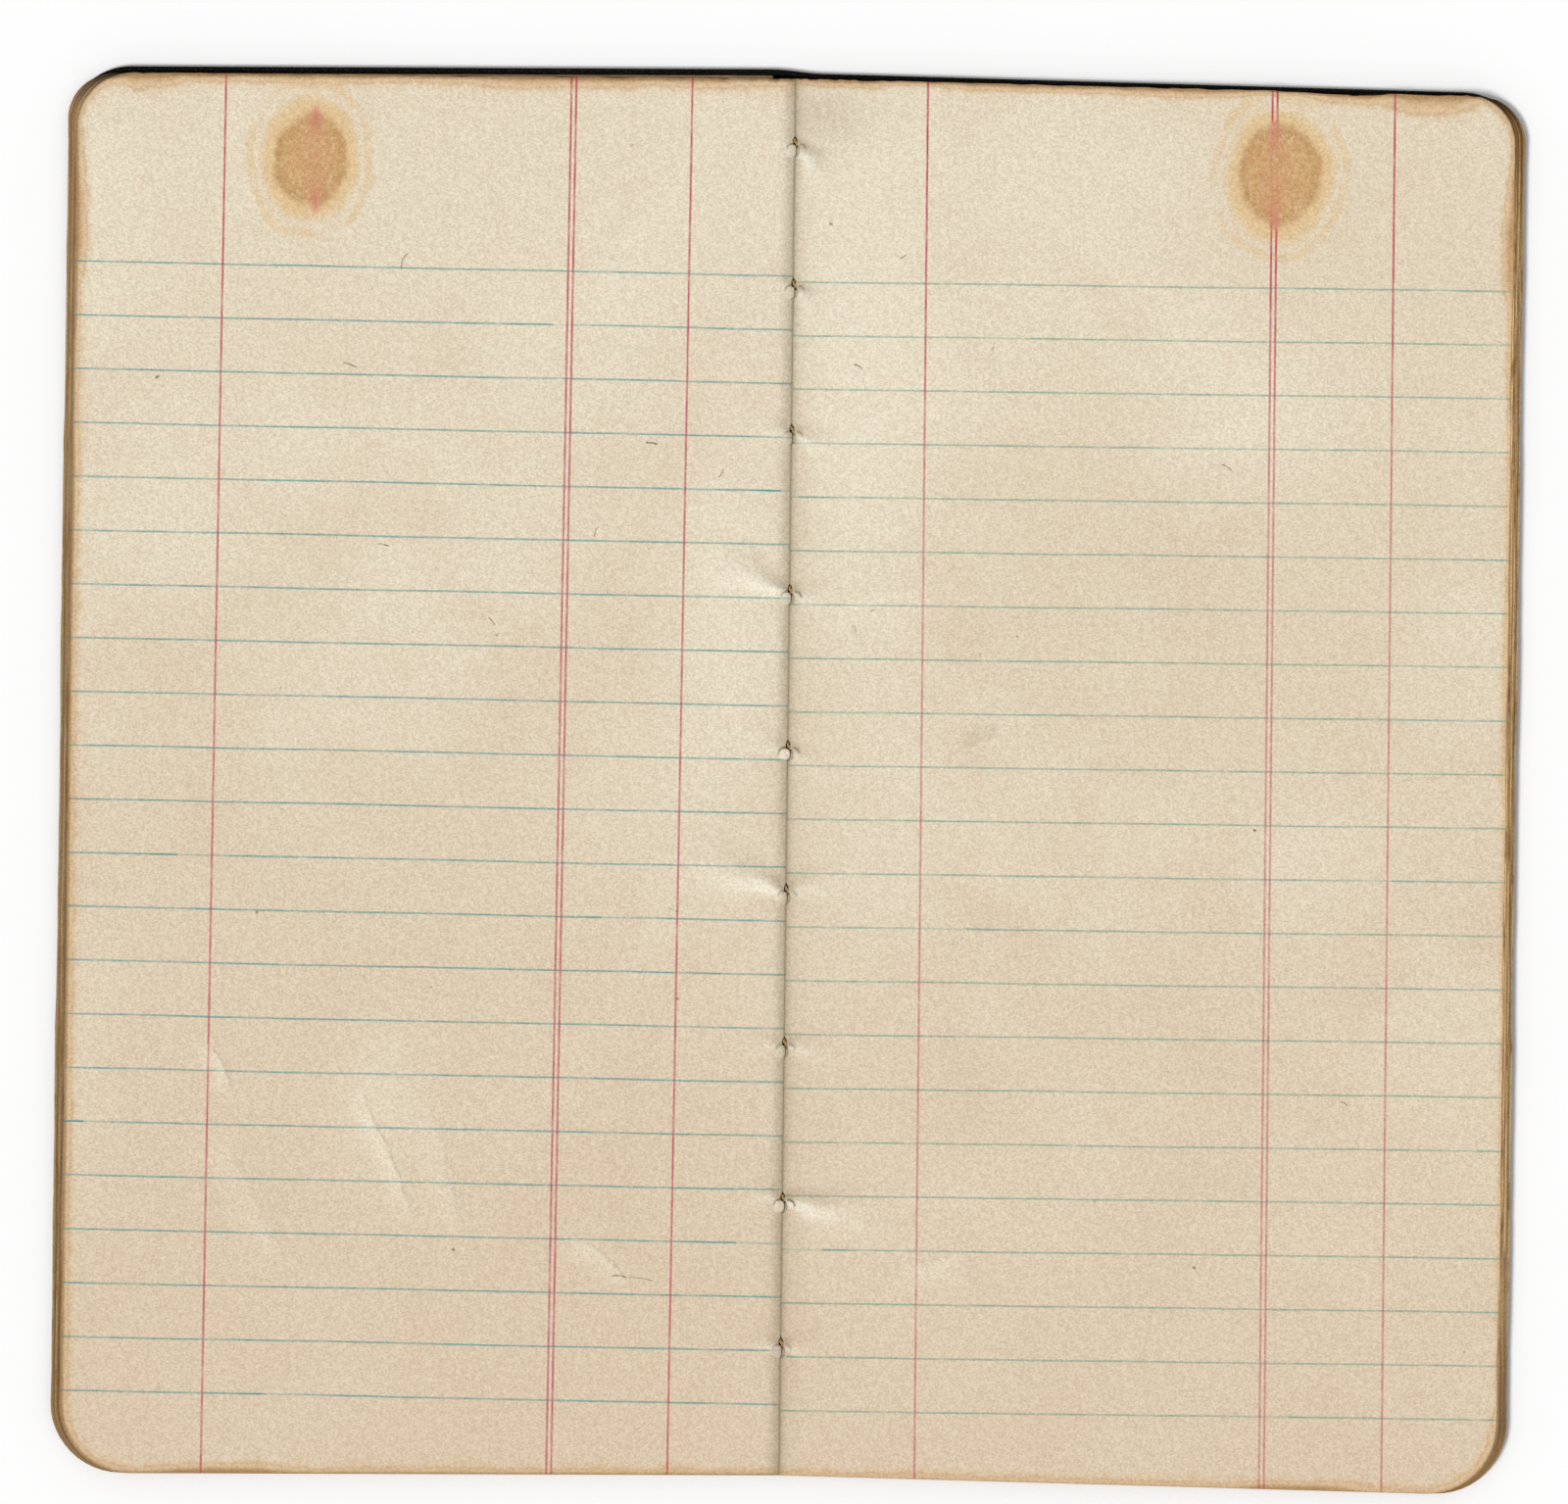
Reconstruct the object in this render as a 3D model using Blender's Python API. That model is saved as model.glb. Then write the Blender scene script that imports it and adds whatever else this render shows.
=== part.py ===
"""Pocket ledger book, lying open and flat at its middle spread.

One gathering of folded sheets is sewn through its fold with a single thread, over a linen
guard, into a limp cover of thin boards and grained cloth. Each folded sheet is made as its
two leaves, because each leaf turns by itself about the fold. +X runs from the fold to the
right-hand fore-edge, +Y to the head of the pages and +Z up from the table.
"""

import math

import bpy

MM = 0.001

# Leaves
PAGE_HEIGHT = 165.1 * MM
LEAF_WIDTH = 84.9 * MM
LEAF_THICKNESS = 0.12 * MM
LEAVES_PER_SIDE = 8
LEAF_GAP = 0.06 * MM
CREEP_STEP = 0.19 * MM
FOLD_GAP = 0.4 * MM
HEAD_CORNER_RADIUS = 5.8 * MM
TAIL_CORNER_RADIUS = 8.4 * MM
TRIM_SKEW = math.radians(0.7)

# Sewing
STITCHES = 9
HEAD_TO_FIRST_STITCH = 7.9 * MM
LAST_STITCH_TO_TAIL = 15.0 * MM
STITCH_STRAY = [0.0, 1.0 * MM, 1.5 * MM, 0.3 * MM, -0.4 * MM, 0.4 * MM, 0.0, -0.6 * MM, 0.0]
HOLE_LENGTH = 2.4 * MM
HOLE_HALF_WIDTH = 0.8 * MM
THREAD_RADIUS = 0.2 * MM
THREAD_BEND_RADIUS = 0.4 * MM
STITCH_LENGTH = 1.3 * MM
STITCH_RISE = 0.1 * MM
THREAD_TAIL = 4.0 * MM
GUARD_WIDTH = 4.0 * MM
GUARD_THICKNESS = 0.18 * MM
GUARD_END_INSET = 2.0 * MM

# Cover
CLOTH_THICKNESS = 0.25 * MM
BOARD_THICKNESS = 0.6 * MM
PASTEDOWN_THICKNESS = 0.12 * MM
COVER_MARGIN = 0.2 * MM
COVER_HEAD_CORNER_RADIUS = 7.6 * MM
COVER_LIFT = 0.65 * MM
PASTEDOWN_INSET = 1.0 * MM
SPINE_WIDTH = 4.8 * MM
JOINT_GAP = 0.3 * MM
PASTE_GAP = 0.05 * MM

# The axis of every hinge lies this far above the innermost leaf.
AXIS_CLEARANCE = 0.15 * MM

# Steps of the curved stretches
CORNER_STEPS = 6
HOLE_STEPS = 6
BEND_STEPS = 2

# Colours and roughness
PAPER = ((0.72, 0.61, 0.46), 0.85)
LINING = ((0.66, 0.54, 0.39), 0.85)
BOARD = ((0.35, 0.26, 0.17), 0.9)
COVER_CLOTH = ((0.028, 0.022, 0.018), 0.55)
LINEN = ((0.62, 0.55, 0.42), 0.9)
THREAD = ((0.50, 0.33, 0.17), 0.8)

# Heights above the table, from the cover up to the hinge axis
BOARD_BOTTOM = CLOTH_THICKNESS + PASTE_GAP
PASTEDOWN_BOTTOM = BOARD_BOTTOM + BOARD_THICKNESS + PASTE_GAP
LEAVES_BOTTOM = PASTEDOWN_BOTTOM + PASTEDOWN_THICKNESS + PASTE_GAP
LEAF_PITCH = LEAF_THICKNESS + LEAF_GAP
LEAVES_TOP = LEAVES_BOTTOM + LEAVES_PER_SIDE * LEAF_PITCH - LEAF_GAP
AXIS_HEIGHT = LEAVES_TOP + AXIS_CLEARANCE
THREAD_OUTSIDE = CLOTH_THICKNESS + PASTE_GAP + THREAD_RADIUS
THREAD_INSIDE = LEAVES_TOP + STITCH_RISE - THREAD_RADIUS
GUARD_BOTTOM = THREAD_OUTSIDE + THREAD_RADIUS + PASTE_GAP

# Distances from the fold
LOWEST_LEAF_WIDTH = LEAF_WIDTH + (LEAVES_PER_SIDE - 1) * CREEP_STEP
COVER_WIDTH = LOWEST_LEAF_WIDTH + COVER_MARGIN
COVER_INNER_EDGE = SPINE_WIDTH / 2 + JOINT_GAP
LEAF_INNER_EDGE = FOLD_GAP / 2

# The book reaches from the tail of its lowest leaves, which fall towards both fore-edges, to the
# head of its cover, which is lifted. The fold's place centres it on Y = 0.
TRIM_SLOPE = math.tan(TRIM_SKEW)
TAIL_FALL = TRIM_SLOPE * (LOWEST_LEAF_WIDTH - TAIL_CORNER_RADIUS)
FOLD_CENTRE = (TAIL_FALL - COVER_LIFT) / 2
HEAD = FOLD_CENTRE + PAGE_HEIGHT / 2
TAIL = FOLD_CENTRE - PAGE_HEIGHT / 2

LEFT = -1
RIGHT = 1


def clear_scene():
    for obj in list(bpy.data.objects):
        bpy.data.objects.remove(obj, do_unlink=True)


def finish(name, colour_and_roughness):
    colour, roughness = colour_and_roughness
    material = bpy.data.materials.new(name)
    material.use_nodes = True
    shader = material.node_tree.nodes["Principled BSDF"]
    shader.inputs["Base Color"].default_value = (*colour, 1.0)
    shader.inputs["Roughness"].default_value = roughness
    shader.inputs["Metallic"].default_value = 0.0
    material.diffuse_color = (*colour, 1.0)
    return material


def height_of(carrier):
    """How high an empty lies: the back cover's on the table, all the others on the hinge axis."""
    return AXIS_HEIGHT if carrier.parent else 0.0


def axis_empty(book, name, parent):
    """An empty on the hinge axis: turning it about its Y turns what it carries."""
    empty = bpy.data.objects.new(name, None)
    empty.empty_display_size = SPINE_WIDTH
    book.objects.link(empty)
    empty.parent = parent
    empty.location.z = AXIS_HEIGHT - height_of(parent)
    return empty


def sheet(book, name, outlines, bottom, thickness, carrier, material):
    """A flat sheet cut to its outlines, where the ones inside the first are holes."""
    curve = bpy.data.curves.new(name, "CURVE")
    curve.dimensions = "2D"
    curve.fill_mode = "BOTH"
    curve.extrude = thickness / 2
    for outline in outlines:
        spline = curve.splines.new("POLY")
        spline.points.add(len(outline) - 1)
        for point, (x, y) in zip(spline.points, outline):
            point.co = (x, y, 0.0, 1.0)
        spline.use_cyclic_u = True
    curve.materials.append(material)
    obj = bpy.data.objects.new(name, curve)
    book.objects.link(obj)
    obj.parent = carrier
    obj.location.z = bottom + thickness / 2 - height_of(carrier)


def arc(centre, radius, start, end, steps):
    """Points of an arc about centre, from one angle to another, both ends included."""
    turn = (end - start) / steps
    angles = [start + turn * step for step in range(steps + 1)]
    return [(centre[0] + radius * math.cos(a), centre[1] + radius * math.sin(a)) for a in angles]


def stitch_places():
    """Where the sewing holes lie along the fold, from head to tail."""
    first = HEAD - HEAD_TO_FIRST_STITCH
    last = TAIL + LAST_STITCH_TO_TAIL
    pitch = (first - last) / (STITCHES - 1)
    return [first - pitch * i + STITCH_STRAY[i % len(STITCH_STRAY)] for i in range(STITCHES)]


def hole_side(place):
    """Half of an oval sewing hole, as it notches the fold edge of a leaf, from head to tail."""
    reach = math.acos(LEAF_INNER_EDGE / HOLE_HALF_WIDTH)
    angles = [reach - 2 * reach * step / HOLE_STEPS for step in range(HOLE_STEPS + 1)]
    half = HOLE_LENGTH / 2
    return [(HOLE_HALF_WIDTH * math.cos(a), place + half * math.sin(a)) for a in angles]


def half_sheet(side, inner_edge, width, head_corner, inset=0.0, lift=0.0, holes=()):
    """Outline of one leaf or board: straight at the fold, round at its two outer corners.

    The head and tail edges fall towards the fore-edge by the trim's skew. The inset draws all but
    the fold edge in, and the lift moves the sheet towards the head.
    """
    outer = width - inset
    head = HEAD + lift - inset
    tail = TAIL + lift + inset
    slant = math.sqrt(1 + TRIM_SLOPE ** 2)
    head_radius = head_corner - inset
    tail_radius = TAIL_CORNER_RADIUS - inset
    tail_x = outer - tail_radius
    head_x = outer - head_radius
    tail_centre = (tail_x, tail - TRIM_SLOPE * tail_x + tail_radius * slant)
    head_centre = (head_x, head - TRIM_SLOPE * head_x - head_radius * slant)
    points = [(inner_edge, tail - TRIM_SLOPE * inner_edge)]
    points += arc(tail_centre, tail_radius, -math.pi / 2 - TRIM_SKEW, 0.0, CORNER_STEPS)
    points += arc(head_centre, head_radius, 0.0, math.pi / 2 - TRIM_SKEW, CORNER_STEPS)
    points.append((inner_edge, head - TRIM_SLOPE * inner_edge))
    for place in holes:
        points += hole_side(place)
    if side == LEFT:
        points = [(-x, y) for x, y in reversed(points)]
    return points


def make_cover(book, name, side, carrier, materials):
    """Cloth, thin board and pasted lining of one half of the cover.

    The gathering was sewn a little low into its cover, so the cover is lifted towards the head.
    """
    size = (side, COVER_INNER_EDGE, COVER_WIDTH, COVER_HEAD_CORNER_RADIUS)
    outline = half_sheet(*size, lift=COVER_LIFT)
    lining = half_sheet(*size, inset=PASTEDOWN_INSET, lift=COVER_LIFT)
    cloth = materials["cover_cloth"]
    sheet(book, f"{name}_cover_cloth", [outline], 0.0, CLOTH_THICKNESS, carrier, cloth)
    sheet(book, f"{name}_board", [outline], BOARD_BOTTOM, BOARD_THICKNESS, carrier, materials["board"])
    sheet(
        book,
        f"{name}_pastedown",
        [lining],
        PASTEDOWN_BOTTOM,
        PASTEDOWN_THICKNESS,
        carrier,
        materials["lining"],
    )


def make_leaves(book, name, side, carrier, material):
    """Leaves of one side, lowest first: each carries the leaf above it and is wider than it."""
    holes = stitch_places()
    for number in range(LEAVES_PER_SIDE, 0, -1):
        leaf_name = f"leaf_{name}_{number:02d}"
        carrier = axis_empty(book, f"{leaf_name}_axis", carrier)
        width = LEAF_WIDTH + (number - 1) * CREEP_STEP
        bottom = LEAVES_BOTTOM + (LEAVES_PER_SIDE - number) * LEAF_PITCH
        outline = half_sheet(side, LEAF_INNER_EDGE, width, HEAD_CORNER_RADIUS, holes=holes)
        sheet(book, leaf_name, [outline], bottom, LEAF_THICKNESS, carrier, material)


def make_spine(book, carrier, materials):
    """Strip of cover cloth behind the fold, and the linen guard that the gathering is sewn to."""
    half = SPINE_WIDTH / 2
    low = TAIL + COVER_LIFT
    high = HEAD + COVER_LIFT
    strip = [(-half, low), (half, low), (half, high), (-half, high)]
    cloth = materials["cover_cloth"]
    sheet(book, "spine_cover_cloth", [strip], 0.0, CLOTH_THICKNESS, carrier, cloth)
    half = GUARD_WIDTH / 2
    low = TAIL + GUARD_END_INSET
    high = HEAD - GUARD_END_INSET
    outlines = [[(-half, low), (half, low), (half, high), (-half, high)]]
    for place in stitch_places():
        right = hole_side(place)
        outlines.append(right + [(-x, y) for x, y in reversed(right)])
    sheet(book, "sewing_guard", outlines, GUARD_BOTTOM, GUARD_THICKNESS, carrier, materials["linen"])


def thread_route():
    """(y, z) points of the thread: along the back of the fold, and up and over in each hole."""
    bend = THREAD_BEND_RADIUS
    low = THREAD_OUTSIDE + bend
    high = THREAD_INSIDE - bend
    quarter = math.pi / 2
    route = [(stitch_places()[0] + THREAD_TAIL, THREAD_OUTSIDE)]
    for place in stitch_places():
        near = place + STITCH_LENGTH / 2
        far = place - STITCH_LENGTH / 2
        route += arc((near + bend, low), bend, -quarter, -2 * quarter, BEND_STEPS)
        route += arc((near - bend, high), bend, 0.0, quarter, BEND_STEPS)
        route += arc((far + bend, high), bend, quarter, 2 * quarter, BEND_STEPS)
        route += arc((far - bend, low), bend, 0.0, -quarter, BEND_STEPS)
    route.append((stitch_places()[-1] - THREAD_TAIL, THREAD_OUTSIDE))
    return route


def make_thread(book, carrier, material):
    """One thread, sewn from head to tail in long stitches outside and short ones inside."""
    curve = bpy.data.curves.new("sewing_thread", "CURVE")
    curve.dimensions = "3D"
    curve.bevel_depth = THREAD_RADIUS
    curve.bevel_resolution = 1
    curve.use_fill_caps = True
    route = thread_route()
    spline = curve.splines.new("POLY")
    spline.points.add(len(route) - 1)
    for point, (y, z) in zip(spline.points, route):
        point.co = (0.0, y, z - AXIS_HEIGHT, 1.0)
    spline.use_smooth = True
    curve.materials.append(material)
    obj = bpy.data.objects.new("sewing_thread", curve)
    book.objects.link(obj)
    obj.parent = carrier


def main():
    clear_scene()
    book = bpy.data.collections.new("ledger_book")
    bpy.context.scene.collection.children.link(book)
    materials = {
        "paper": finish("paper", PAPER),
        "lining": finish("lining", LINING),
        "board": finish("board", BOARD),
        "cover_cloth": finish("cover_cloth", COVER_CLOTH),
        "linen": finish("linen", LINEN),
        "thread": finish("thread", THREAD),
    }
    back_cover = bpy.data.objects.new("back_cover_base", None)
    book.objects.link(back_cover)
    spine_axis = axis_empty(book, "spine_axis", back_cover)
    front_cover_axis = axis_empty(book, "front_cover_axis", back_cover)
    make_cover(book, "back", RIGHT, back_cover, materials)
    make_cover(book, "front", LEFT, front_cover_axis, materials)
    make_leaves(book, "right", RIGHT, back_cover, materials["paper"])
    make_leaves(book, "left", LEFT, front_cover_axis, materials["paper"])
    make_spine(book, spine_axis, materials)
    make_thread(book, spine_axis, materials["thread"])


main()
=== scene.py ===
"""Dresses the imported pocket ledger: ruled and toned leaves, sewn fold, grained cover and stage.

It is laid out as a Blender add-on and run as a script. Lengths are in metres, in the frame of the
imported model: +X from the fold to the right-hand fore-edge, +Y to the head of the pages, +Z up.
"""

import math
from types import SimpleNamespace

import bpy
import bmesh
import numpy as np
from bpy.props import FloatProperty, FloatVectorProperty, IntProperty, PointerProperty
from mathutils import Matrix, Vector


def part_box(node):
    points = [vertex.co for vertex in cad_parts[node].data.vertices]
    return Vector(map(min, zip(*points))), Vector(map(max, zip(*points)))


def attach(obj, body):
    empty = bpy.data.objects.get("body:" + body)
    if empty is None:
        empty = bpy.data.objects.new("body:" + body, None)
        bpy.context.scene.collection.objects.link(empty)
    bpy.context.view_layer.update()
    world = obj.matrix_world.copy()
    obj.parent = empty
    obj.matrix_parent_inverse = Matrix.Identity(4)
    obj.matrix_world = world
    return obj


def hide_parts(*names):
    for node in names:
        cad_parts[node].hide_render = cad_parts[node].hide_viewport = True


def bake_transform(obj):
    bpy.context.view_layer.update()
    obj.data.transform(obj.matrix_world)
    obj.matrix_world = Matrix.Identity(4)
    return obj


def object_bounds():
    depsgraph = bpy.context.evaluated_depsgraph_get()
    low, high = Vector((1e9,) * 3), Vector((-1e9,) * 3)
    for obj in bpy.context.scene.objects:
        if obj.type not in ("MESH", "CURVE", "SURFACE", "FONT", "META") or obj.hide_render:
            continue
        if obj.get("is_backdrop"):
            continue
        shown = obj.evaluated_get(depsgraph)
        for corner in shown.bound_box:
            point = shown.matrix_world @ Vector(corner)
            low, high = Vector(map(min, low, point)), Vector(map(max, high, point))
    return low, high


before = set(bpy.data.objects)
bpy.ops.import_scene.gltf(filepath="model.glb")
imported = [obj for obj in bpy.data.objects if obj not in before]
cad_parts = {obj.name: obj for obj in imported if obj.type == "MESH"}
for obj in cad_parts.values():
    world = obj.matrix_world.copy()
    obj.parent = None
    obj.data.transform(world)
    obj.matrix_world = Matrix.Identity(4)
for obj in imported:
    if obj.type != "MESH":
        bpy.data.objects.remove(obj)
CAD_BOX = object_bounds()

bl_info = {
    "name": "Pocket ledger looks",
    "version": (1, 0, 0),
    "blender": (4, 5, 0),
    "location": "3D View > Sidebar > Ledger",
    "description": "Leaves, sewing, cover and stage of an old pocket ledger lying open",
    "category": "Object",
}

MM = 0.001
LEFT = -1
RIGHT = 1
SIDES = {"left": LEFT, "right": RIGHT}
COVERS = {"front": LEFT, "back": RIGHT}
LEAVES = sum(name.startswith("leaf_left_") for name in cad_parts)
TOP_LEAF = {side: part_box(f"leaf_{side}_01") for side in SIDES}
COVER_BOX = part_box("back_cover_cloth")
BOARD_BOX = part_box("back_board")
LINING_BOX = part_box("back_pastedown")
GUARD_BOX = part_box("sewing_guard")
PHOTO_SIZE = (1600, 1535)
FOLD_HEAD_PIXEL = (812, 80)
FOLD_TAIL_PIXEL = (795, 1503)
# How many stitches the tables below have places for.
MOST_STITCHES = 9


def tint(red, green, blue):
    """A colour read off a picture, 0 to 255, as the linear values that shaders take."""
    parts = [channel / 255 for channel in (red, green, blue)]
    return tuple(p / 12.92 if p <= 0.04045 else ((p + 0.055) / 1.055) ** 2.4 for p in parts)


def length(name, description, mm):
    return FloatProperty(
        name=name, description=description, default=mm * MM, unit="LENGTH", precision=5
    )


def skew(name, description, degrees):
    return FloatProperty(
        name=name, description=description, default=math.radians(degrees), subtype="ANGLE"
    )


def colour(name, description, rgb):
    return FloatVectorProperty(
        name=name,
        description=description,
        subtype="COLOR",
        size=3,
        min=0.0,
        max=1.0,
        default=tint(*rgb),
    )


class LedgerSizes(bpy.types.PropertyGroup):
    """Sizes of the leaves, their ruling, the sewing and the cover."""

    page_height: length("Page height", "Height of a leaf along the fold", 165.1)
    trim_skew: skew("Trim skew", "Fall of the solids' head and tail towards the fore-edges", 0.7)
    left_head_skew: skew("Left head skew", "Fall of the left leaves' head", 0.14)
    left_tail_skew: skew("Left tail skew", "Fall of the left leaves' tail", 0.48)
    right_head_skew: skew("Right head skew", "Fall of the right leaves' head", 0.74)
    right_tail_skew: skew("Right tail skew", "Fall of the right leaves' tail", 0.95)
    front_skew: skew("Front cover skew", "Fall of the front cover's head and tail", 0.41)
    back_skew: skew("Back cover skew", "Fall of the back cover's head and tail", 0.96)
    tail_reach: length("Tail reach", "How much further the leaves reach at the tail", 0.33)
    fold_gap: length("Fold gap", "Gap between the two top leaves at the fold", 0.01)
    left_head_corner: length("Left head corner", "Radius of the left page's head corner", 6.5)
    left_tail_corner: length("Left tail corner", "Radius of the left page's tail corner", 8.1)
    right_head_corner: length("Right head corner", "Radius of the right page's head corner", 5.75)
    right_tail_corner: length("Right tail corner", "Radius of the right page's tail corner", 8.5)
    low_head_corner: length("Low head corner", "Radius of the lowest leaves' head corners", 5.6)
    low_tail_corner: length("Low tail corner", "Radius of the lowest leaves' tail corners", 8.4)
    cover_head_corner: length("Cover head corner", "Radius of the cover's head corners", 7.2)
    cover_tail_corner: length("Cover tail corner", "Radius of the cover's tail corners", 8.4)
    # Both lifts let the black cover stand out past the head, so that its edge shows there as a dark
    # band: a dark sheet standing in for the shadow along the head.
    back_lift: length("Back lift", "How far the back cover stands out past the head", 0.71)
    front_lift: length("Front lift", "How far the front cover stands out past the head", 1.15)
    fore_lean: FloatProperty(
        name="Fore-edge lean",
        description="Lean of both fore-edges against the fold",
        default=0.0021,
    )
    top_reach: length("Top leaf reach", "How much further the top leaf reaches than its solid", 0.18)
    cover_trim: length("Cover trim", "How much the cover is rubbed back at the fore-edges", 0.19)
    cloth_thickness: length("Cloth thickness", "Thickness of the cover's grained cloth", 0.16)
    cloth_round: length("Cloth round", "Radius of the cloth round the boards' edges", 0.22)
    turn_in: length("Turn-in", "Cloth turned in over the board's edge", 0.72)
    gutter_depth: length("Gutter depth", "How far the top leaves dip at the fold", 0.3)
    gutter_width: length("Gutter width", "How far from the fold the dip begins", 1.0)
    feint_pitch: length("Feint pitch", "Distance between the blue lines", 6.365)
    feint_width: length("Feint width", "Width of a blue line", 0.2)
    feint_count: IntProperty(name="Feint lines", description="Blue lines on a page", default=22)
    margin_width: length("Margin width", "Width of a red line", 0.23)
    stitches: IntProperty(
        name="Stitches",
        description="Sewing holes in the fold",
        default=MOST_STITCHES,
        min=2,
        max=MOST_STITCHES,
    )
    first_stitch: length("First stitch", "From the head to the first hole", 7.9)
    last_stitch: length("Last stitch", "From the last hole to the tail", 15.0)
    stitch_stray: FloatVectorProperty(
        name="Stitch stray",
        description="How far each hole strays from an even pitch",
        size=MOST_STITCHES,
        unit="LENGTH",
        default=tuple(mm * MM for mm in (0.0, 1.0, 1.5, 0.3, -0.4, 0.4, 0.0, -0.6, 0.0)),
    )
    stitch_length: length("Stitch length", "Thread that shows inside a hole", 0.85)
    stitch_rise: length("Stitch rise", "How far the thread shows above a hole's middle", 0.32)
    thread_radius: length("Thread radius", "Radius of the twisted thread", 0.2)
    thread_twist: length("Thread twist", "Length of one turn of the thread's two plies", 1.1)
    thread_tail: length("Thread tail", "Thread past the first and the last hole", 4.0)


class LedgerColours(bpy.types.PropertyGroup):
    """Colours of the pieces, as they look in plain light."""

    paper: colour("Paper", "Body colour of the leaves", (223, 208, 183))
    paper_pale: colour("Pale paper", "Lighter clouds in the paper", (235, 225, 203))
    paper_warm: colour("Warm paper", "Pinkish clouds in the paper", (218, 197, 171))
    fibre: colour("Fibres", "Short brown fibres and specks in the paper", (88, 64, 38))
    feint_left: colour("Feint, left page", "Blue lines of the left page", (50, 146, 150))
    feint_right: colour("Feint, right page", "Blue lines of the right page", (84, 154, 138))
    margin: colour("Margin", "Red column lines", (186, 48, 84))
    bleed: colour("Bleed", "Red ink that ran into the stain", (208, 122, 112))
    toning_light: colour("Light toning", "Ochre edge toning", (217, 184, 141))
    toning_dark: colour("Dark toning", "Brown edge toning", (170, 132, 88))
    edge_light: colour("Light leaf edges", "Leaf edges that are least toned", (172, 145, 106))
    edge_dark: colour("Dark leaf edges", "Leaf edges that are most toned", (108, 83, 50))
    edge_soiled: colour("Soiled leaf edges", "Brown blotches on the leaf edges", (128, 88, 40))
    edge_black: colour("Sooty leaf edges", "Leaf edges at the head corners", (44, 32, 18))
    stain: colour("Stain", "Core of the stains near the head", (199, 154, 102))
    stain_halo: colour("Stain halo", "Yellow halo of the stains", (224, 194, 148))
    stain_fleck: colour("Stain flecks", "Pale fibres in the stains", (236, 208, 164))
    # Dust in the fold and painted shade of its valley.
    gutter: colour("Gutter dust", "Olive dirt in the fold", (122, 106, 74))
    # Painted shade on the puckers' far flanks and round the stitches.
    soil: colour("Soil", "Handled paper beside the stitches", (150, 122, 88))
    # Painted shade in the torn slits and at the holes' torn edges, over soiled torn paper.
    gash: colour("Torn hole", "Soiled torn paper at the sewing holes", (84, 58, 28))
    # Painted shade on the lower leaves inside the holes.
    hole: colour("Hole", "Brown paper inside the sewing holes", (158, 120, 70))
    # Painted highlight on the puckers' ridges and tongues and on the creases' gentle flanks.
    glint: colour("Glint", "Rubbed ridges of the puckered paper", (250, 244, 226))
    cloth: colour("Cover cloth", "Black grained leatherette", (17, 15, 14))
    cloth_worn: colour("Worn cloth", "Rubbed corners and edges of the cloth", (92, 74, 56))
    lining: colour("Lining", "Paper pasted inside the covers", (205, 184, 150))
    board: colour("Board", "Brown pressboard of the covers", (150, 117, 80))
    linen: colour("Linen", "Strip that the leaves are sewn to", (206, 192, 160))
    thread: colour("Thread", "Tan sewing thread", (194, 160, 108))
    floor: colour("Floor", "Pale surface that the book lies on", (254, 254, 254))


def sizes():
    return bpy.context.scene.ledger_sizes


def colours():
    return bpy.context.scene.ledger_colours


def head():
    """Where the head of the pages meets the fold."""
    low, high = TOP_LEAF["right"]
    return high.y + math.tan(sizes().trim_skew) * low.x


def tail():
    return head() - sizes().page_height


def cover_width():
    """How far the cover reaches from the fold."""
    return COVER_BOX[1].x - sizes().cover_trim


def stitch_places():
    """Where the sewing holes lie along the fold, from head to tail."""
    size = sizes()
    first = head() - size.first_stitch
    last = tail() + size.last_stitch
    steps = size.stitches - 1
    return [first + (last - first) * i / steps + size.stitch_stray[i] for i in range(steps + 1)]


# Shader nodes


class Signal:
    """A value, place or colour in a node tree. What is done with it adds nodes to the tree."""

    def __init__(self, nodes, socket):
        self.nodes = nodes
        self.socket = socket

    def __add__(self, other):
        return self.nodes.calc("ADD", self, other)

    def __sub__(self, other):
        return self.nodes.calc("SUBTRACT", self, other)

    def __rsub__(self, other):
        return self.nodes.calc("SUBTRACT", other, self)

    def __mul__(self, other):
        return self.nodes.calc("MULTIPLY", self, other)

    def __truediv__(self, other):
        return self.nodes.calc("DIVIDE", self, other)

    def __abs__(self):
        return self.nodes.calc("ABSOLUTE", self)

    def least(self, other):
        return self.nodes.calc("MINIMUM", self, other)

    def most(self, other):
        return self.nodes.calc("MAXIMUM", self, other)

    def span(self, low, high, start=0.0, end=1.0):
        """Smooth step from start, where the value is low, to end, where it is high."""
        sockets = {"Value": self, "From Min": low, "From Max": high, "To Min": start, "To Max": end}
        return self.nodes.get("ShaderNodeMapRange", sockets, interpolation_type="SMOOTHSTEP")

    def noise(self, scale, detail=2.0, roughness=0.5, output=0):
        """Soft noise over a place."""
        sockets = {"Vector": self, "Scale": scale, "Detail": detail, "Roughness": roughness}
        return self.nodes.get("ShaderNodeTexNoise", sockets, output)

    def warped(self, scale, *reach):
        """A place that is shifted by noise."""
        return self.nodes.vector("MULTIPLY_ADD", self.noise(scale, output="Color"), reach, self)

    def scaled(self, *factors):
        return self.nodes.vector("MULTIPLY", self, factors)

    def moved(self, *by):
        return self.nodes.vector("ADD", self, by)

    def axes(self):
        parts = self.nodes.add("ShaderNodeSeparateXYZ", {0: self}).outputs
        return [Signal(self.nodes, part) for part in parts]

    def toward(self, other, share):
        """A colour with a share of another mixed in."""
        return self.nodes.mix(share, self, other)

    def layered(self, *layers):
        """A colour with others laid over it in turn, each by its share."""
        tone = self
        for other, share in layers:
            tone = tone.toward(other, share)
        return tone

    def shaded(self, other):
        """A colour multiplied by another."""
        return self.nodes.mix(1.0, self, other, "MULTIPLY")


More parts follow.
